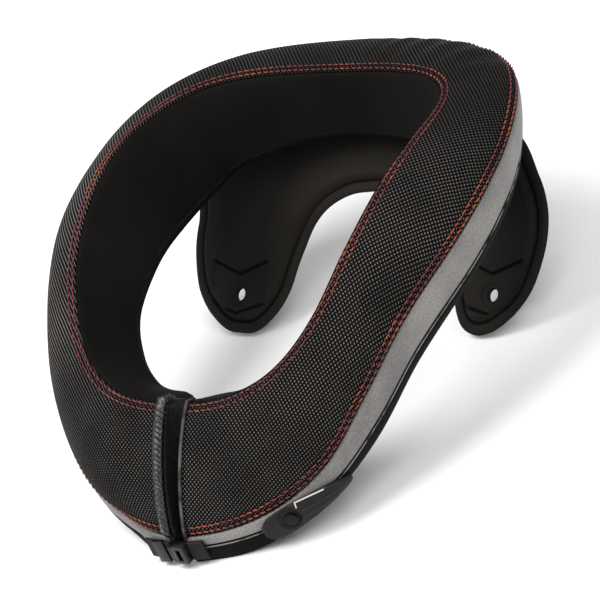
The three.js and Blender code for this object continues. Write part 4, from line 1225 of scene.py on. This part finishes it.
# Each light's place and disc diameter in metres, and its power in watts
SOFT_LIGHTS = (
    ("key", (-0.5, -0.5, 1.5), 1.2, 22.0),
    ("fill", (0.9, -0.4, 1.2), 1.0, 9.0),
    ("back", (0.1, 1.3, 1.0), 1.0, 2.5),
)
floor_corners = [(x * FLOOR_HALF, y * FLOOR_HALF, 0) for x, y in ((-1, -1), (1, -1), (1, 1), (-1, 1))]
floor = mesh_object("floor", floor_corners, [(0, 1, 2, 3)], smooth=False, closed=False)
paper, nodes, shader = material("pale_paper", Roughness=0.9, Specular_IOR_Level=0.1,
                                Base_Color=colour(0.95, 0.95, 0.95))
floor.data.materials.append(paper)

bpy.context.scene.view_settings.view_transform = "Standard"
world = bpy.data.worlds.new("studio")
bpy.context.scene.world = world
world.use_nodes = True
background = world.node_tree.nodes["Background"]
background.inputs["Color"].default_value = colour(1.0, 0.995, 0.99)
background.inputs["Strength"].default_value = WORLD_STRENGTH
for name, place, size, power in SOFT_LIGHTS:
    lamp = bpy.data.lights.new(name, "AREA")
    lamp.shape = "DISK"
    lamp.size = size
    lamp.energy = power
    holder = bpy.data.objects.new(name, lamp)
    holder.location = place
    holder.rotation_euler = (Vector(LIGHTS_AIM) - Vector(place)).to_track_quat("-Z", "Y").to_euler()
    bpy.context.scene.collection.objects.link(holder)

# The camera stands in front, to the collar's +X side and above, tilted as the photograph
# is. Its small shift brings the aim point to the place that it has there.
CAMERA_DISTANCE = 1.975
CAMERA_TURN = math.radians(40)
CAMERA_RISE = math.radians(38)
PIXELS_PER_MM = 2.53
IMAGE_WIDTH = 600
AIM = Vector((0.0, -0.0004, 0.058))
AIM_PIXEL = (269.3, 271.2)
SENSOR = 36.0
right = Vector((math.cos(CAMERA_TURN), math.sin(CAMERA_TURN) * math.cos(CAMERA_RISE),
                -math.sin(CAMERA_TURN) * math.sin(CAMERA_RISE)))
up = Vector((0, math.sin(CAMERA_RISE), math.cos(CAMERA_RISE)))
away = right.cross(up).normalized()
lens = bpy.data.cameras.new("camera")
lens.sensor_width = SENSOR
lens.lens = PIXELS_PER_MM * CAMERA_DISTANCE / MM * SENSOR / IMAGE_WIDTH
lens.shift_x = (IMAGE_WIDTH / 2 - AIM_PIXEL[0]) / IMAGE_WIDTH
lens.shift_y = (AIM_PIXEL[1] - IMAGE_WIDTH / 2) / IMAGE_WIDTH
lens.clip_end = 50
camera = bpy.data.objects.new("camera", lens)
bpy.context.scene.collection.objects.link(camera)
camera.location = AIM + away * CAMERA_DISTANCE
upright = away.cross(right).normalized()
camera.rotation_euler = Matrix((right, upright, away)).transposed().to_euler()
bpy.context.scene.camera = camera
